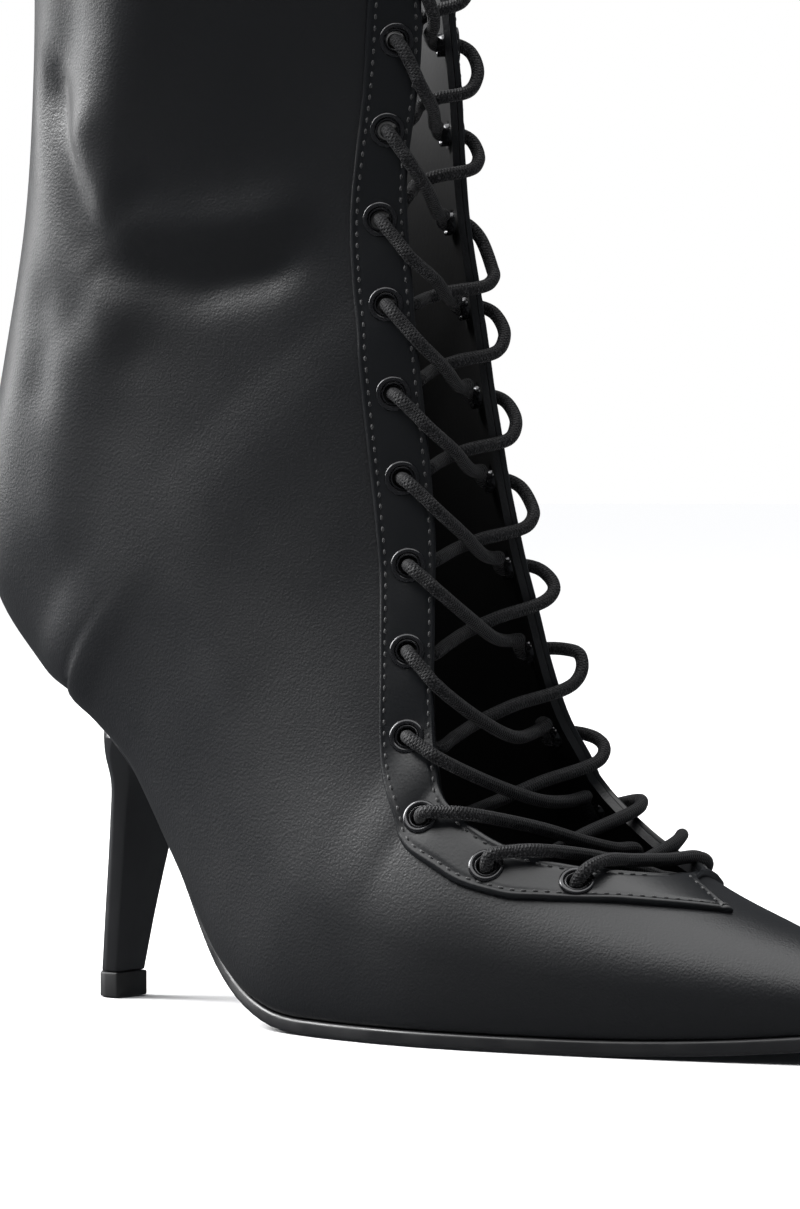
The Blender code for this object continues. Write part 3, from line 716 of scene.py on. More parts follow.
STITCH_PITCH = 2.4
STITCH_LENGTH = 1.15
STITCH_RADIUS = 0.28


def new_tree(name, sizes):
    """A Geometry Nodes tree with named size inputs, and its two end nodes."""
    tree = bpy.data.node_groups.new(name, "GeometryNodeTree")
    tree.interface.new_socket("Geometry", in_out="INPUT", socket_type="NodeSocketGeometry")
    for label, value in sizes.items():
        socket = tree.interface.new_socket(label, in_out="INPUT", socket_type="NodeSocketFloat")
        socket.default_value = value
    tree.interface.new_socket("Geometry", in_out="OUTPUT", socket_type="NodeSocketGeometry")
    return tree, tree.nodes.new("NodeGroupInput"), tree.nodes.new("NodeGroupOutput")


def finish_tree(tree, instances, sink, finish):
    """Realize what the tree has placed, shade it smooth and give it its material."""
    nodes, links = tree.nodes, tree.links
    real = nodes.new("GeometryNodeRealizeInstances")
    smooth = nodes.new("GeometryNodeSetShadeSmooth")
    dressed = nodes.new("GeometryNodeSetMaterial")
    dressed.inputs["Material"].default_value = finish
    links.new(instances, real.inputs[0])
    links.new(real.outputs[0], smooth.inputs[0])
    links.new(smooth.outputs[0], dressed.inputs[0])
    links.new(dressed.outputs[0], sink.inputs[0])


def grown(name, carrier, tree, values):
    """Run a tree on a carrier with its sizes set, and keep the result as a plain mesh."""
    modifier = carrier.modifiers.new(name, "NODES")
    modifier.node_group = tree
    for item in tree.interface.items_tree:
        if item.item_type == "SOCKET" and item.in_out == "INPUT" and item.name in values:
            modifier[item.identifier] = values[item.name]
    bpy.context.view_layer.update()
    mesh = bpy.data.meshes.new_from_object(
        carrier.evaluated_get(bpy.context.evaluated_depsgraph_get()))
    piece = bpy.data.objects.new(name, mesh)
    bpy.context.collection.objects.link(piece)
    bpy.data.objects.remove(carrier, do_unlink=True)
    return piece


def stitch_tree(finish):
    """Short stitches end to end along every line of the carrier."""
    tree, source, sink = new_tree(
        "stitch_row", {"Pitch": 0.0025, "Stitch length": 0.0019, "Thread radius": 0.00024})
    nodes, links = tree.nodes, tree.links
    curve = nodes.new("GeometryNodeMeshToCurve")
    spaced = nodes.new("GeometryNodeResampleCurve")
    spaced.mode = "LENGTH"
    tangent = nodes.new("GeometryNodeInputTangent")
    turned = nodes.new("FunctionNodeAlignRotationToVector")
    turned.axis = "Z"
    thread = nodes.new("GeometryNodeMeshUVSphere")
    thread.inputs["Segments"].default_value = 8
    thread.inputs["Rings"].default_value = 6
    halves = nodes.new("ShaderNodeMath")
    halves.operation = "MULTIPLY"
    halves.inputs[1].default_value = 0.5
    size = nodes.new("ShaderNodeCombineXYZ")
    scaled = nodes.new("GeometryNodeTransform")
    placed = nodes.new("GeometryNodeInstanceOnPoints")
    thread.inputs["Radius"].default_value = 1.0
    links.new(source.outputs["Stitch length"], halves.inputs[0])
    links.new(source.outputs["Thread radius"], size.inputs["X"])
    links.new(source.outputs["Thread radius"], size.inputs["Y"])
    links.new(halves.outputs[0], size.inputs["Z"])
    links.new(thread.outputs["Mesh"], scaled.inputs["Geometry"])
    links.new(size.outputs[0], scaled.inputs["Scale"])
    links.new(source.outputs["Geometry"], curve.inputs["Mesh"])
    links.new(curve.outputs["Curve"], spaced.inputs["Curve"])
    links.new(source.outputs["Pitch"], spaced.inputs["Length"])
    links.new(spaced.outputs["Curve"], placed.inputs["Points"])
    links.new(tangent.outputs["Tangent"], turned.inputs["Vector"])
    links.new(turned.outputs["Rotation"], placed.inputs["Rotation"])
    links.new(scaled.outputs["Geometry"], placed.inputs["Instance"])
    finish_tree(tree, placed.outputs["Instances"], sink, finish)
    return tree


def front_seam(inset):
    """Points of the stitch row along the slanted front edge of the outer half."""
    line = []
    for step in range(41):
        place = NOTCH_END + (EYESTAY_END + 0.1 - NOTCH_END) * step / 40.0
        inner, outer = band_edges(place, -1)
        sizes = section(place + inset * 0.02)
        turn = turn_at(sizes, -(inner + inset * 0.92))
        line.append(leather_point(place + inset * 0.02, turn, band_lift(inset, 9.0) + 0.08))
    return line


def seam_line(side, edge, inset, first):
    """Points of a stitch row at an inset from the band's inner or outer edge."""
    line = []
    for step in range(421):
        place = first + (COLLAR - 0.05 - first) * (step / 420.0) ** 1.2
        sizes = section(place)
        inner, outer = band_edges(place, side)
        turn_in = abs(turn_at(sizes, side * inner))
        turn_out = abs(turn_at(sizes, side * outer))
        width = (on_section(sizes, side * turn_out) - on_section(sizes, side * turn_in)).length
        share = inset / width if edge == "inner" else 1.0 - inset / width
        turn = turn_in + (turn_out - turn_in) * share
        lift = band_lift(width * share, width * (1.0 - share))
        across = inner + (outer - inner) * share
        line.append(leather_point(place, side * turn, lift + pucker(place, side, across) + 0.08))
    return line


def lines_carrier(name, lines):
    """A mesh of bare lines, in metres, for a tree to work on."""
    points, edges = [], []
    for line in lines:
        start = len(points)
        points.extend(point * MM for point in line)
        edges.extend((start + step, start + step + 1) for step in range(len(line) - 1))
    mesh = bpy.data.meshes.new(name)
    mesh.from_pydata(points, edges, [])
    carrier = bpy.data.objects.new(name, mesh)
    bpy.context.collection.objects.link(carrier)
    return carrier


def thread_finish():
    """Black thread with a faint twist and sheen."""
    finish, nodes, links, shader = new_finish("black_thread", (0.013, 0.013, 0.014), 0.55)
    shader.inputs["Sheen Weight"].default_value = 0.3
    place = nodes.new("ShaderNodeTexCoord")
    twist = nodes.new("ShaderNodeTexNoise")
    twist.inputs["Scale"].default_value = 6000.0
    bump = nodes.new("ShaderNodeBump")
    bump.inputs["Strength"].default_value = 0.5
    bump.inputs["Distance"].default_value = 0.00005
    links.new(place.outputs["Object"], twist.inputs["Vector"])
    links.new(twist.outputs["Fac"], bump.inputs["Height"])
    links.new(bump.outputs["Normal"], shader.inputs["Normal"])
    return finish


stitch_lines = [front_seam(STITCH_INSET)]
for side, first in ((-1, 4.42), (1, 5.5)):
    stitch_lines.append(seam_line(side, "inner", STITCH_INSET, 5.3))
    stitch_lines.append(seam_line(side, "outer", STITCH_INSET, first))
stitches = grown(
    "eyestay_stitches", lines_carrier("stitch_lines", stitch_lines), stitch_tree(thread_finish()),
    {"Pitch": STITCH_PITCH * MM, "Stitch length": STITCH_LENGTH * MM,
     "Thread radius": STITCH_RADIUS * MM},
)
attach(stitches, "root")


# The eyelets
# Black enamelled metal, thirteen a side. Each has a rolled rim that presses on the
# eyestay and a barrel that goes through both layers of leather.

EYELET_ROLL = 0.46
EYELET_RIM_HEIGHT = 0.95
BARREL_DEPTH = 4.4


def eyelet_tree(finish):
    """A rolled rim and its barrel on every point, turned to the point's direction."""
    tree, source, sink = new_tree(
        "set_eyelets", {"Rim radius": 0.0029, "Roll": 0.0006, "Barrel radius": 0.0023,
                        "Barrel wall": 0.0004, "Barrel depth": 0.0044})
    nodes, links = tree.nodes, tree.links

    def ring(radius_label, sides):
        circle = nodes.new("GeometryNodeCurvePrimitiveCircle")
        circle.inputs["Resolution"].default_value = sides
        links.new(source.outputs[radius_label], circle.inputs["Radius"])
        return circle

    rim_path = ring("Rim radius", 40)
    roll = ring("Roll", 12)
    flatter = nodes.new("GeometryNodeTransform")
    flatter.inputs["Scale"].default_value = (1.25, 0.85, 1.0)
    rim = nodes.new("GeometryNodeCurveToMesh")
    links.new(roll.outputs["Curve"], flatter.inputs["Geometry"])
    links.new(rim_path.outputs["Curve"], rim.inputs["Curve"])
    links.new(flatter.outputs["Geometry"], rim.inputs["Profile Curve"])
    barrel_path = ring("Barrel radius", 28)
    wall = nodes.new("GeometryNodeCurvePrimitiveQuadrilateral")
    links.new(source.outputs["Barrel wall"], wall.inputs["Width"])
    links.new(source.outputs["Barrel depth"], wall.inputs["Height"])
    barrel = nodes.new("GeometryNodeCurveToMesh")
    links.new(barrel_path.outputs["Curve"], barrel.inputs["Curve"])
    links.new(wall.outputs["Curve"], barrel.inputs["Profile Curve"])
    half = nodes.new("ShaderNodeMath")
    half.operation = "MULTIPLY"
    half.inputs[1].default_value = -0.5
    down = nodes.new("ShaderNodeCombineXYZ")
    sunk = nodes.new("GeometryNodeTransform")
    links.new(source.outputs["Barrel depth"], half.inputs[0])
    links.new(half.outputs[0], down.inputs["Z"])
    links.new(barrel.outputs["Mesh"], sunk.inputs["Geometry"])
    links.new(down.outputs[0], sunk.inputs["Translation"])
    both = nodes.new("GeometryNodeJoinGeometry")
    links.new(rim.outputs["Mesh"], both.inputs[0])
    links.new(sunk.outputs["Geometry"], both.inputs[0])
    direction = nodes.new("GeometryNodeInputNamedAttribute")
    direction.data_type = "FLOAT_VECTOR"
    direction.inputs["Name"].default_value = "outward"
    turned = nodes.new("FunctionNodeAlignRotationToVector")
    turned.axis = "Z"
    placed = nodes.new("GeometryNodeInstanceOnPoints")
    links.new(direction.outputs[0], turned.inputs["Vector"])
    links.new(source.outputs["Geometry"], placed.inputs["Points"])
    links.new(turned.outputs["Rotation"], placed.inputs["Rotation"])
    links.new(both.outputs[0], placed.inputs["Instance"])
    finish_tree(tree, placed.outputs["Instances"], sink, finish)
    return tree


def eyelet_carrier():
    """One point on the eyestay for each eyelet, with the direction out of the leather."""
    spots, directions = [], []
    for place in EYELETS:
        for side in (-1, 1):
            centre, normal = eyelet_frame(place, side)
            spots.append((centre + normal * (EYESTAY_TOP - 0.05)) * MM)
            directions.extend(normal)
    mesh = bpy.data.meshes.new("eyelet_spots")
    mesh.from_pydata(spots, [], [])
    mesh.attributes.new("outward", "FLOAT_VECTOR", "POINT").data.foreach_set("vector", directions)
    carrier = bpy.data.objects.new("eyelet_spots", mesh)
    bpy.context.collection.objects.link(carrier)
    return carrier


def eyelet_finish():
    """Glossy black enamel, thin, its gloss a little uneven."""
    finish, nodes, links, shader = new_finish("eyelet_metal", (0.022, 0.022, 0.024), 0.16, 0.7)
    shader.inputs["Coat Weight"].default_value = 0.6
    shader.inputs["Coat Roughness"].default_value = 0.08
    place = nodes.new("ShaderNodeTexCoord")
    wear = nodes.new("ShaderNodeTexNoise")
    wear.inputs["Scale"].default_value = 700.0
    spread = nodes.new("ShaderNodeMapRange")
    spread.inputs["To Min"].default_value = 0.12
    spread.inputs["To Max"].default_value = 0.26
    links.new(place.outputs["Object"], wear.inputs["Vector"])
    links.new(wear.outputs["Fac"], spread.inputs["Value"])
    links.new(spread.outputs["Result"], shader.inputs["Roughness"])
    return finish


eyelets = grown("eyelets", eyelet_carrier(), eyelet_tree(eyelet_finish()), {
    "Rim radius": (EYELET_FLANGE / 2.0 - 1.25 * EYELET_ROLL) * MM,
    "Roll": EYELET_ROLL * MM,
    "Barrel radius": (EYELET_HOLE + EYELET_BARREL) / 2.0 * MM,
    "Barrel wall": EYELET_BARREL * MM,
    "Barrel depth": BARREL_DEPTH * MM,
})
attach(eyelets, "root")
for number in range(1, EYELET_COUNT + 1):
    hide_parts(f"eyelet_outer_{number:02d}", f"eyelet_inner_{number:02d}")


# The lace
# One round waxed cord. It bars across the lowest eyelets, then both ends cross upwards:
# each comes out of an eyelet, hangs slack over the edge and goes in under the other side.

LACE_DIAMETER = 2.8
LACE_SIDES = 14
LACE_STEP = 0.7

# A point of a run: along is a share of the way down to the next eyelet, across is 2 at
# the eyelet, 1 at the throat's edge and -1 at the other edge, and lift is in millimetres.
# The runs of the near side lie nearly straight. Each row gives how far along a run
# crosses its own edge and the other one, and how far it sags between them.
NEAR_COLUMNS = ("own_edge", "other_edge", "sag")
NEAR_ROWS = (
    (0.45, 0.90, 0.04),
    (0.40, 0.90, 0.12),
    (0.39, 0.92, 0.24),
    (0.43, 0.96, 0.34),
    (0.32, 0.92, 0.20),
    (0.40, 0.94, 0.16),
    (0.45, 0.92, 0.16),
    (0.46, 0.90, 0.18),
    (0.50, 0.94, 0.12),
    (0.34, 0.92, 0.16),
    (0.48, 0.92, 0.12),
    (0.46, 0.90, 0.12),
)
# The runs of the far side stand out in slack loops. Each row gives how far out, how far
# along the loop's peak is, and where the run comes back over its edge and ends.
FAR_COLUMNS = ("stand", "peak", "own_edge", "other_edge")
FAR_ROWS = (
    (5.0, 0.25, 0.50, 0.95),
    (5.1, 0.25, 0.50, 0.95),
    (5.3, 0.20, 0.50, 1.02),
    (7.9, 0.12, 0.47, 1.08),
    (6.0, 0.23, 0.46, 1.00),
    (5.3, 0.36, 0.60, 0.93),
    (4.9, 0.28, 0.57, 0.88),
    (5.2, 0.27, 0.55, 0.84),
    (5.0, 0.60, 0.80, 1.00),
    (4.4, 0.22, 0.39, 0.73),
    (5.0, 0.25, 0.52, 0.85),
    (4.8, 0.28, 0.55, 0.90),
)


def lace_point(place, across, lift, side):
    """Point of the lace at a place, across the throat and lift off the leather."""
    sizes = section(place)
    edge = max(throat_half(place), 0.01)
    if abs(across) > 1.0:
        wide = edge + (abs(across) - 1.0) * (eyelet_across(place) - edge)
        turn = turn_at(sizes, math.copysign(wide, across * side))
        return leather_point(place, turn, lift)
    own = turn_at(sizes, side * edge)
    other = turn_at(sizes, -side * edge)
    share = (1.0 - across) / 2.0
    straight = leather_point(place, own).lerp(leather_point(place, other), share)
    direction = outward(place, own).lerp(outward(place, other), share).normalized()
    return straight + direction * lift


def near_run(own_edge, other_edge, sag):
    """A run that lies on its flap, crosses the throat and dips under the other flap."""
    gap = other_edge - own_edge
    return (
        (0.0, 2.0, -3.2),
        (0.0, 2.0, 0.8),
        (own_edge * 0.2, 1.8, 3.5),
        (own_edge * 0.6, 1.4, 3.4),
        (own_edge, 1.0, 3.0),
        (own_edge + gap * 0.33 + sag * 0.8, 0.35, 1.2),
        (own_edge + gap * 0.62 + sag, -0.25, -1.6),
        (own_edge + gap * 0.85 + sag * 0.5, -0.7, -3.6),
        (other_edge, -1.0, -4.4),
        (0.93, -1.55, -4.4),
    )


def far_run(stand, peak, own_edge, other_edge):
    """A run that stands off its flap in a loop and passes behind the near run."""
    gap = other_edge - own_edge
    return (
        (0.0, 2.0, -3.2),
        (0.0, 2.0, 0.8),
        (peak * 0.3, 1.88, stand * 0.75),
        (peak, 1.5, stand),
        ((peak + own_edge) / 2.0, 1.2, stand * 0.92),
        (own_edge, 0.95, max(stand * 0.6, 3.0)),
        (own_edge + gap * 0.3, 0.35, -1.6),
        (own_edge + gap * 0.55, -0.15, -4.3),
        (own_edge + gap * 0.8, -0.65, -4.8),
        (other_edge, -1.0, -4.6),
        (1.0, -1.7, -4.6),
    )


def run_point(row, side, along, across, lift):
    """A lace point whose way down from its eyelet towards the next is a given share."""
    top, low = EYELETS[row], EYELETS[row - 1]
    if across == 2.0:
        return lace_point(top, across, lift, side)
    start = eyelet_frame(top, side)[0]
    onward = eyelet_frame(low, side)[0] - start
    onward.y = 0.0
    high, deep = top + 2.0, max(low - 2.5, THROAT_END + 0.06)
    for _ in range(18):
        place = (high + deep) / 2.0
        point = lace_point(place, across, lift, side)
        if (point - start).dot(onward) < along * onward.length_squared:
            high = place
        else:
            deep = place
    return point


def lace_run(row, side):
    """Points of the run from a row of eyelets down to the other side of the row below."""
    run = far_run(*FAR_ROWS[row - 1]) if side > 0 else near_run(*NEAR_ROWS[row - 1])
    return [run_point(row, side, *spot) for spot in run]


def lace_route():
    """The whole lace, from one hidden end down across the bar and up to the other."""
    legs = {}
    for start in (-1, 1):
        side = start
        leg = []
        for row in range(EYELET_COUNT - 1, 0, -1):
            leg += lace_run(row, side)
            side = -side
        leg.append(lace_point(EYELET_FIRST, 2.0, -3.2, side))
        leg.append(lace_point(EYELET_FIRST, 2.0, 0.8, side))
        leg.append(lace_point(EYELET_FIRST - 0.04, 1.75, 2.9 - 0.4 * side, side))
        legs[side] = leg
    bar = [lace_point(EYELET_FIRST - 0.08, across, lift, -1)
           for across, lift in ((1.0, 3.0), (0.4, 2.3), (-0.4, 1.7), (-1.0, 1.9))]
    return legs[-1] + bar + legs[1][::-1]


def curve_through(points, step):
    """Evenly spaced points on a centripetal curve through a route."""
    route = [points[0] * 2.0 - points[1]] + points + [points[-1] * 2.0 - points[-2]]
    dense = []
    for p0, p1, p2, p3 in zip(route, route[1:], route[2:], route[3:]):
        knots = [0.0]
        for a, b in ((p0, p1), (p1, p2), (p2, p3)):
            knots.append(knots[-1] + max((b - a).length, 0.001) ** 0.5)
        k0, k1, k2, k3 = knots
        for part in range(12):
            t = k1 + (k2 - k1) * part / 12.0
            a1 = p0 * ((k1 - t) / (k1 - k0)) + p1 * ((t - k0) / (k1 - k0))
            a2 = p1 * ((k2 - t) / (k2 - k1)) + p2 * ((t - k1) / (k2 - k1))
            a3 = p2 * ((k3 - t) / (k3 - k2)) + p3 * ((t - k2) / (k3 - k2))
            b1 = a1 * ((k2 - t) / (k2 - k0)) + a2 * ((t - k0) / (k2 - k0))
            b2 = a2 * ((k3 - t) / (k3 - k1)) + a3 * ((t - k1) / (k3 - k1))
            dense.append(b1 * ((k2 - t) / (k2 - k1)) + b2 * ((t - k1) / (k2 - k1)))
    dense.append(points[-1])
    even, left = [dense[0]], step
    for a, b in zip(dense, dense[1:]):
        length = (b - a).length
        while length >= left > 0.0:
            a = a + (b - a) * (left / length)
            even.append(a)
            length = (b - a).length
            left = step
        left -= length
    return even


def cord_piece(name, route, diameter, sides, finish):
    """A round cord along a route, with a UV map that follows its length."""
    points, faces, along = [], [], []
    side = (route[1] - route[0]).cross(Vector((0.0, 0.0, 1.0))).normalized()
    for index, point in enumerate(route):
        before, after = route[max(index - 1, 0)], route[min(index + 1, len(route) - 1)]
        direction = (after - before).normalized()
        side = (side - direction * side.dot(direction)).normalized()
        top = direction.cross(side)
        for step in range(sides):
            angle = 2.0 * math.pi * step / sides
            spoke = side * math.cos(angle) + top * math.sin(angle)
            points.append((point + spoke * diameter / 2.0) * MM)
    for row in range(len(route) - 1):
        for step in range(sides):
            after = (step + 1) % sides
            faces.append((row * sides + step, row * sides + after,
                          (row + 1) * sides + after, (row + 1) * sides + step))
            along.append((row, step))
    faces.append(tuple(range(sides))[::-1])
    faces.append(tuple((len(route) - 1) * sides + step for step in range(sides)))
    mesh = bpy.data.meshes.new(name)
    mesh.from_pydata(points, [], faces)
    layer = mesh.uv_layers.new(name="cord")
    values = []
    for row, step in along:
        for v, u in ((row, step), (row, step + 1), (row + 1, step + 1), (row + 1, step)):
            values += [u / sides, v * LACE_STEP * MM]
    values += [0.0, 0.0] * (2 * sides)
    layer.data.foreach_set("uv", values)
    mesh.materials.append(finish)
    mesh.shade_smooth()
    piece = bpy.data.objects.new(name, mesh)
    bpy.context.collection.objects.link(piece)
    return piece


def cord_finish():
    """Waxed braid: two crossing spirals of yarn, with pale flecks of wax."""
    finish, nodes, links, shader = new_finish("waxed_cord", (0.006, 0.006, 0.007), 0.6, 0.0, 0.3)
    shader.inputs["Sheen Weight"].default_value = 0.06
    shader.inputs["Sheen Roughness"].default_value = 0.4
    place = nodes.new("ShaderNodeUVMap")
    place.uv_map = "cord"
    weave = []
    for slope in (1.0, -1.0):
        turned = nodes.new("ShaderNodeMapping")
        turned.inputs["Scale"].default_value = (6.0, slope * 1500.0, 1.0)
        split = nodes.new("ShaderNodeSeparateXYZ")
        phase = nodes.new("ShaderNodeMath")
        phase.operation = "ADD"
        turn = nodes.new("ShaderNodeMath")
        turn.operation = "MULTIPLY"
        turn.inputs[1].default_value = 2.0 * math.pi
        wave = nodes.new("ShaderNodeMath")
        wave.operation = "SINE"
        links.new(place.outputs["UV"], turned.inputs["Vector"])
        links.new(turned.outputs["Vector"], split.inputs[0])
        links.new(split.outputs["X"], phase.inputs[0])
        links.new(split.outputs["Y"], phase.inputs[1])
        links.new(phase.outputs[0], turn.inputs[0])
        links.new(turn.outputs[0], wave.inputs[0])
        weave.append(wave)
    braid = nodes.new("ShaderNodeMath")
    braid.operation = "MAXIMUM"
    links.new(weave[0].outputs[0], braid.inputs[0])
    links.new(weave[1].outputs[0], braid.inputs[1])
    bump = nodes.new("ShaderNodeBump")
    bump.inputs["Strength"].default_value = 0.7
    bump.inputs["Distance"].default_value = 0.00016
    links.new(braid.outputs[0], bump.inputs["Height"])
    links.new(bump.outputs["Normal"], shader.inputs["Normal"])
    spot = nodes.new("ShaderNodeTexCoord")
    flecks = nodes.new("ShaderNodeTexNoise")
    flecks.inputs["Scale"].default_value = 2600.0
    flecks.inputs["Detail"].default_value = 2.0
    colours = nodes.new("ShaderNodeValToRGB")
    colours.color_ramp.elements[0].position = 0.5
    colours.color_ramp.elements[0].color = (0.0045, 0.0045, 0.0055, 1.0)
    colours.color_ramp.elements[1].position = 0.72
    colours.color_ramp.elements[1].color = (0.03, 0.03, 0.032, 1.0)
    links.new(spot.outputs["Object"], flecks.inputs["Vector"])
    links.new(flecks.outputs["Fac"], colours.inputs["Fac"])
    links.new(colours.outputs["Color"], shader.inputs["Base Color"])
    return finish


lace = cord_piece(
    "lace", curve_through(lace_route(), LACE_STEP), LACE_DIAMETER, LACE_SIDES, cord_finish())
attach(lace, "root")
for name in sorted(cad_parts):
    if name.startswith("lace_"):
        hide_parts(name)


# The sole and the insole
# A thin black sole with a rounded, polished edge. It runs from the toe tip up the waist
# to the heel seat. The insole board lies on the lasted edge of the upper inside.

WAIST_THICKNESS = 2.0
SOLE_REACH = 1.6
INSOLE_THICKNESS = 2.2
OUTSOLE_END = SEAT_END - 0.12
INSOLE_START = 2.9
INSOLE_END = SEAT_END - 0.75
WAIST_START = 9.0
WAIST_END = 11.0
HEEL_SEAT_START = 8.5


def sole_line(place, drop):
    """Point of the sole's middle line, drop millimetres square below the upper."""
    low = section(place)["low"]
    ahead = section(min(place + 0.05, SEAT_END))["low"]
    behind = section(max(place - 0.05, 0.0))["low"]
    along = (behind - ahead).normalized()
    return low + Vector((along.z, 0.0, -along.x)) * drop


def waist_blend(place):
    """0 along the forepart, 1 from the waist back."""
    return min(max((place - WAIST_START) / (WAIST_END - WAIST_START), 0.0), 1.0)


def sole_thickness(place):
    """Full thickness under the ball and toe, thinner from the waist back."""
    blend = waist_blend(place)
    return SOLE_THICKNESS * (1.0 - blend) + WAIST_THICKNESS * blend


def sole_grow(place):
    """The sole shows past the upper's flat at the ball and toe, not at the waist."""
    blend = waist_blend(place)
    return SOLE_REACH * (1.0 - blend) - 2.0 * GAP * blend


def plate_piece(name, start, end, grow, top, bottom, edge, finish, rows=120, past=0.0):
    """A plate that follows the sole's line, its edges rounded by a radius."""
    rings = []
    arcs = [math.pi / 2.0 * step / 4.0 for step in range(5)]
    for row in range(rows + 1):
        share = row / rows
        # rows crowd towards both ends
        place = start + (end - start) * (0.5 - 0.5 * math.cos(math.pi * share))
        sizes = section(place)
        upper_face = sole_line(place, top(place))
        lower_face = sole_line(place, bottom(place))
        down = lower_face - upper_face
        depth = max(down.length, 0.01)
        round_off = min(edge, depth / 2.0)
        outline = []
        for side in (-1, 1):
            reach = max(sizes["flat"][side] + grow(place), 0.35)
            soft = min(round_off, reach * 0.9)
            half = []
            for angle in arcs:
                half.append((reach - soft + soft * math.sin(angle), soft - soft * math.cos(angle)))
            for angle in arcs:
                half.append((reach - soft + soft * math.cos(angle),
                             depth - soft + soft * math.sin(angle)))
            outline.append([(side * across, fall) for across, fall in half])
        ring = outline[0][::-1] + outline[1]
        rings.append([
            upper_face + down * (fall / depth) + Vector((0.0, sizes["mid"] + across, 0.0))
            for across, fall in ring
        ])
    if past:
        onward = (sole_line(end, 0.0) - sole_line(end - 0.2, 0.0)).normalized() * past
        rings.append([point + onward for point in rings[-1]])
    count = len(rings[0])
    points = [point for ring in rings for point in ring]
    faces = [tuple(range(count)), tuple((len(rings) - 1) * count + c for c in range(count))]
    for row in range(len(rings) - 1):
        for column in range(count):
            after = (column + 1) % count
            faces.append((row * count + column, row * count + after,
                          (row + 1) * count + after, (row + 1) * count + column))
    return mesh_piece(name, points, faces, finish, 45.0)


def scuffed_finish(name, colour, smooth, rough, depth):
    """A hard black surface with fine texture and uneven gloss."""
    finish, nodes, links, shader = new_finish(name, colour, rough)
    place = nodes.new("ShaderNodeTexCoord")
    uneven = nodes.new("ShaderNodeTexNoise")
    uneven.inputs["Scale"].default_value = 180.0
    uneven.inputs["Detail"].default_value = 5.0
    fine = nodes.new("ShaderNodeTexNoise")
    fine.inputs["Scale"].default_value = 3000.0
    spread = nodes.new("ShaderNodeMapRange")
    spread.inputs["From Min"].default_value = 0.35
    spread.inputs["From Max"].default_value = 0.65
    spread.inputs["To Min"].default_value = smooth
    spread.inputs["To Max"].default_value = rough
    bump = nodes.new("ShaderNodeBump")
    bump.inputs["Strength"].default_value = 0.3
    bump.inputs["Distance"].default_value = depth
    links.new(place.outputs["Object"], uneven.inputs["Vector"])
    links.new(place.outputs["Object"], fine.inputs["Vector"])
    links.new(uneven.outputs["Fac"], spread.inputs["Value"])
    links.new(spread.outputs["Result"], shader.inputs["Roughness"])
    links.new(fine.outputs["Fac"], bump.inputs["Height"])
    links.new(bump.outputs["Normal"], shader.inputs["Normal"])
    return finish


sole = plate_piece(
    "outsole_plate", 0.0, OUTSOLE_END, sole_grow, lambda place: GAP * 0.4,
    lambda place: GAP + sole_thickness(place), 0.8,
    [scuffed_finish("sole_rubber", (0.0105, 0.0105, 0.0115), 0.3, 0.48, 0.00006)],
)
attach(sole, "root")
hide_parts("outsole")

insole = plate_piece(
    "insole_board", INSOLE_START, INSOLE_END, lambda place: -WALL - 2.0 * GAP,
    lambda place: -(WALL + GAP + INSOLE_THICKNESS), lambda place: -(WALL + GAP), 0.5,
    [leather_finish("insole_lining", (0.009, 0.009, 0.0095), 0.55, 0.7, 900.0, 0.0001, 0.3)],
)
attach(insole, "root")
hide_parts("insole")


# The heel and its tip
# A slim moulded heel with a flat breast and bevelled sides, painted satin black, and the
# rubber tip that wears on the ground.

HEEL_TIP_HEIGHT = 5.5
HEEL_TIP_LENGTH = 6.4
HEEL_TIP_WIDTH = 10.0
HEEL_TIP_FLARE = 0.4
HEEL_TOP_LENGTH = 27.0
HEEL_TOP_WIDTH = 40.0
HEEL_TOP_SET = 1.5
TIP_MIDDLE = (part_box("heel_tip")[0].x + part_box("heel_tip")[1].x) / 2.0 / MM
TIP_BACK = TIP_MIDDLE - HEEL_TIP_LENGTH / 2.0

HEEL_COLUMNS = ("height", "back", "front", "width")
HEEL = (
    (0.00, 0.00, 0.00, 0.00),
    (0.22, 0.24, 0.08, 0.09),
    (0.42, 0.50, 0.16, 0.19),
    (0.56, 0.68, 0.22, 0.27),
    (0.70, 0.88, 0.31, 0.40),
    (0.82, 0.92, 0.48, 0.68),
    (0.94, 1.00, 0.85, 0.96),
    (1.20, 1.00, 1.00, 1.00),
)


def heel_ring(back, front, width, height):
    """A level ring of the heel: flat breast, bevelled sides and a narrower back."""
    half = width / 2.0
    depth = front - back
    outline = (
        (0.00, -0.42), (0.26, -0.86), (0.55, -1.00), (1.00, -0.92),
        (1.00, 0.92), (0.55, 1.00), (0.26, 0.86), (0.00, 0.42),
    )
    return [Vector((back + depth * u, half * v, height)) for u, v in outline]


def ring_stack(name, rings, finish):
    """A closed stack of rings."""
    count = len(rings[0])
    points = [point for ring in rings for point in ring]
    faces = [tuple(range(count)), tuple((len(rings) - 1) * count + c for c in range(count))]
    for row in range(len(rings) - 1):
        for column in range(count):
            after = (column + 1) % count
            faces.append((row * count + column, row * count + after,
                          (row + 1) * count + after, (row + 1) * count + column))
    return mesh_piece(name, points, faces, finish, 20.0)


def soften(piece, width):
    """Round the sharp edges of a piece and keep the result as its mesh."""
    bevel = piece.modifiers.new("Soft edges", "BEVEL")
    bevel.width = width * MM
    bevel.segments = 3
    bevel.limit_method = "ANGLE"
    bevel.angle_limit = math.radians(24.0)
    bevel.harden_normals = False
    bpy.context.view_layer.update()
    mesh = bpy.data.meshes.new_from_object(
        piece.evaluated_get(bpy.context.evaluated_depsgraph_get()))
    piece.modifiers.remove(bevel)
    piece.data = mesh
    mesh.shade_smooth()
    mesh.set_sharp_from_angle(angle=math.radians(45.0))


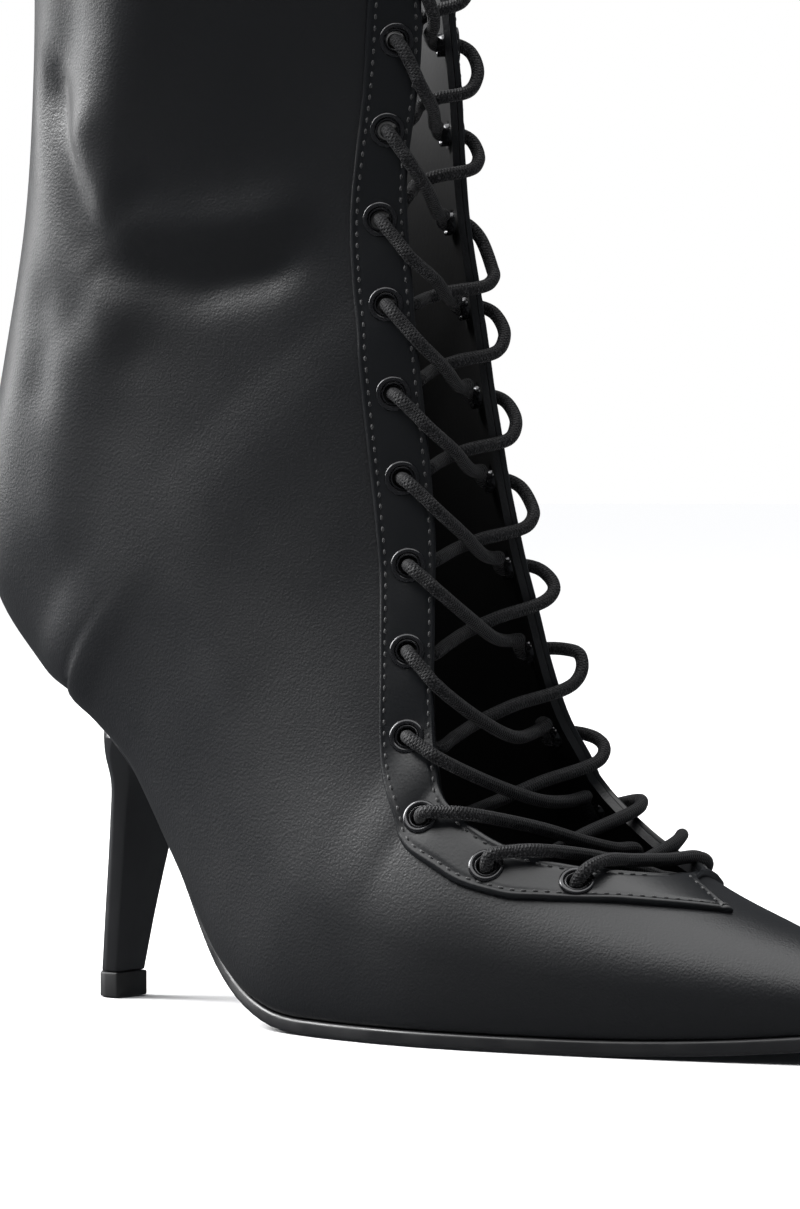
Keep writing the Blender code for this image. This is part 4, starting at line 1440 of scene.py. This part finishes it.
def build_heel(finish):
    """The heel block up to the sole that it is screwed to."""
    top_back = section(SEAT_END)["low"].x + HEEL_TOP_SET
    top_front = top_back + HEEL_TOP_LENGTH
    tip_front = TIP_BACK + HEEL_TIP_LENGTH
    foot = HEEL_TIP_HEIGHT + GAP * 0.4
    rings = []
    steps = 6
    for step in range((len(HEEL) - 1) * steps + 1):
        height, back, front, width = smooth_at(HEEL, step / steps)
        rings.append(heel_ring(
            TIP_BACK + (top_back - TIP_BACK) * back,
            tip_front + (top_front - tip_front) * front,
            HEEL_TIP_WIDTH + (HEEL_TOP_WIDTH - HEEL_TIP_WIDTH) * width,
            foot + (SEAT_HEIGHT - foot) * height,
        ))
    heel = ring_stack("heel_block", rings, finish)
    soften(heel, 0.45)
    above = plate_piece(
        "seat_form", HEEL_SEAT_START, SEAT_END - 0.01, lambda place: HEEL_TOP_WIDTH,
        lambda place: -HEEL_TOP_WIDTH, lambda place: 1.4 * GAP + sole_thickness(place), 0.1,
        finish, 60, HEEL_TOP_LENGTH,
    )
    cut(heel, above)
    return heel


heel = build_heel([scuffed_finish("heel_cover", (0.011, 0.0112, 0.0125), 0.34, 0.46, 0.00004)])
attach(heel, "root")
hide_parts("heel")

tip = ring_stack("heel_tip_rubber", [
    heel_ring(TIP_BACK - HEEL_TIP_FLARE, TIP_BACK + HEEL_TIP_LENGTH + HEEL_TIP_FLARE,
              HEEL_TIP_WIDTH + 2.0 * HEEL_TIP_FLARE, height)
    for height in (0.0, HEEL_TIP_HEIGHT)
], [scuffed_finish("heel_tip_rubber", (0.013, 0.013, 0.0135), 0.5, 0.65, 0.0001)])
soften(tip, 0.4)
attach(tip, "root")
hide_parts("heel_tip")


# The floor, the light and the camera
# A plain white floor, an even soft light from above, three softboxes behind the heel,
# two high and one low, and the camera at the photograph's angle.

FLOOR_RADIUS = 6.0


def white_floor():
    """A wide white floor just under the sole."""
    shape = bmesh.new()
    bmesh.ops.create_circle(shape, cap_ends=True, segments=96, radius=FLOOR_RADIUS)
    mesh = bpy.data.meshes.new("floor")
    shape.to_mesh(mesh)
    shape.free()
    mesh.materials.append(new_finish("white_floor", (0.95, 0.95, 0.955), 0.9, 0.0, 0.0)[0])
    floor = bpy.data.objects.new("floor", mesh)
    floor.location.z = -0.0002
    floor.visible_glossy = False
    bpy.context.collection.objects.link(floor)
    return floor


white_floor()


def soft_world(seen, given):
    """White behind the boot as the camera sees it, and a dim cool fill as it lights."""
    world = bpy.data.worlds.new("studio")
    world.use_nodes = True
    nodes, links = world.node_tree.nodes, world.node_tree.links
    light = nodes["Background"]
    light.inputs["Color"].default_value = (0.86, 0.92, 1.0, 1.0)
    light.inputs["Strength"].default_value = given
    white = nodes.new("ShaderNodeBackground")
    white.inputs["Color"].default_value = (1.0, 1.0, 1.0, 1.0)
    white.inputs["Strength"].default_value = seen
    path = nodes.new("ShaderNodeLightPath")
    choice = nodes.new("ShaderNodeMixShader")
    links.new(path.outputs["Is Camera Ray"], choice.inputs["Fac"])
    links.new(light.outputs["Background"], choice.inputs[1])
    links.new(white.outputs["Background"], choice.inputs[2])
    links.new(choice.outputs["Shader"], nodes["World Output"].inputs["Surface"])
    bpy.context.scene.world = world
    bpy.context.scene.view_settings.view_transform = "Standard"


def softbox(name, place, target, size, power):
    """A rectangular softbox that faces a target."""
    light = bpy.data.lights.new(name, "AREA")
    light.shape = "RECTANGLE"
    light.size, light.size_y = size
    light.energy = power
    lamp = bpy.data.objects.new(name, light)
    lamp.location = place
    lamp.rotation_euler = (Vector(target) - Vector(place)).to_track_quat("-Z", "Y").to_euler()
    bpy.context.collection.objects.link(lamp)
    return lamp


soft_world(1.0, 0.10)
overhead = bpy.data.lights.new("overhead", "SUN")
overhead.energy = 3.0
overhead.angle = math.radians(75.0)
overhead_lamp = bpy.data.objects.new("overhead", overhead)
overhead_lamp.rotation_euler = (math.radians(8.0), math.radians(-6.0), 0.0)
bpy.context.collection.objects.link(overhead_lamp)
softbox("back_softbox", (-1.15, -0.45, 0.8), (0.0, 0.0, 0.13), (0.8, 0.6), 26.0)
softbox("low_softbox", (-1.35, -0.05, 0.3), (0.0, 0.0, 0.13), (0.6, 0.5), 4.0)
softbox("high_softbox", (-0.7, -0.6, 1.05), (0.0, 0.0, 0.13), (0.6, 0.6), 16.0)

CAMERA_PLACE = (0.8668, -0.9193, 0.1321)
CAMERA_AIM = (0.0875, -0.0068, 0.089)
CAMERA_LENS = 169.7
camera = bpy.data.cameras.new("camera")
camera.sensor_fit = "VERTICAL"
camera.sensor_height = 36.0
camera.lens = CAMERA_LENS
camera.clip_start = 0.05
camera_rig = bpy.data.objects.new("camera", camera)
camera_rig.location = CAMERA_PLACE
camera_rig.rotation_euler = (
    Vector(CAMERA_AIM) - Vector(CAMERA_PLACE)).to_track_quat("-Z", "Y").to_euler()
bpy.context.collection.objects.link(camera_rig)
bpy.context.scene.camera = camera_rig
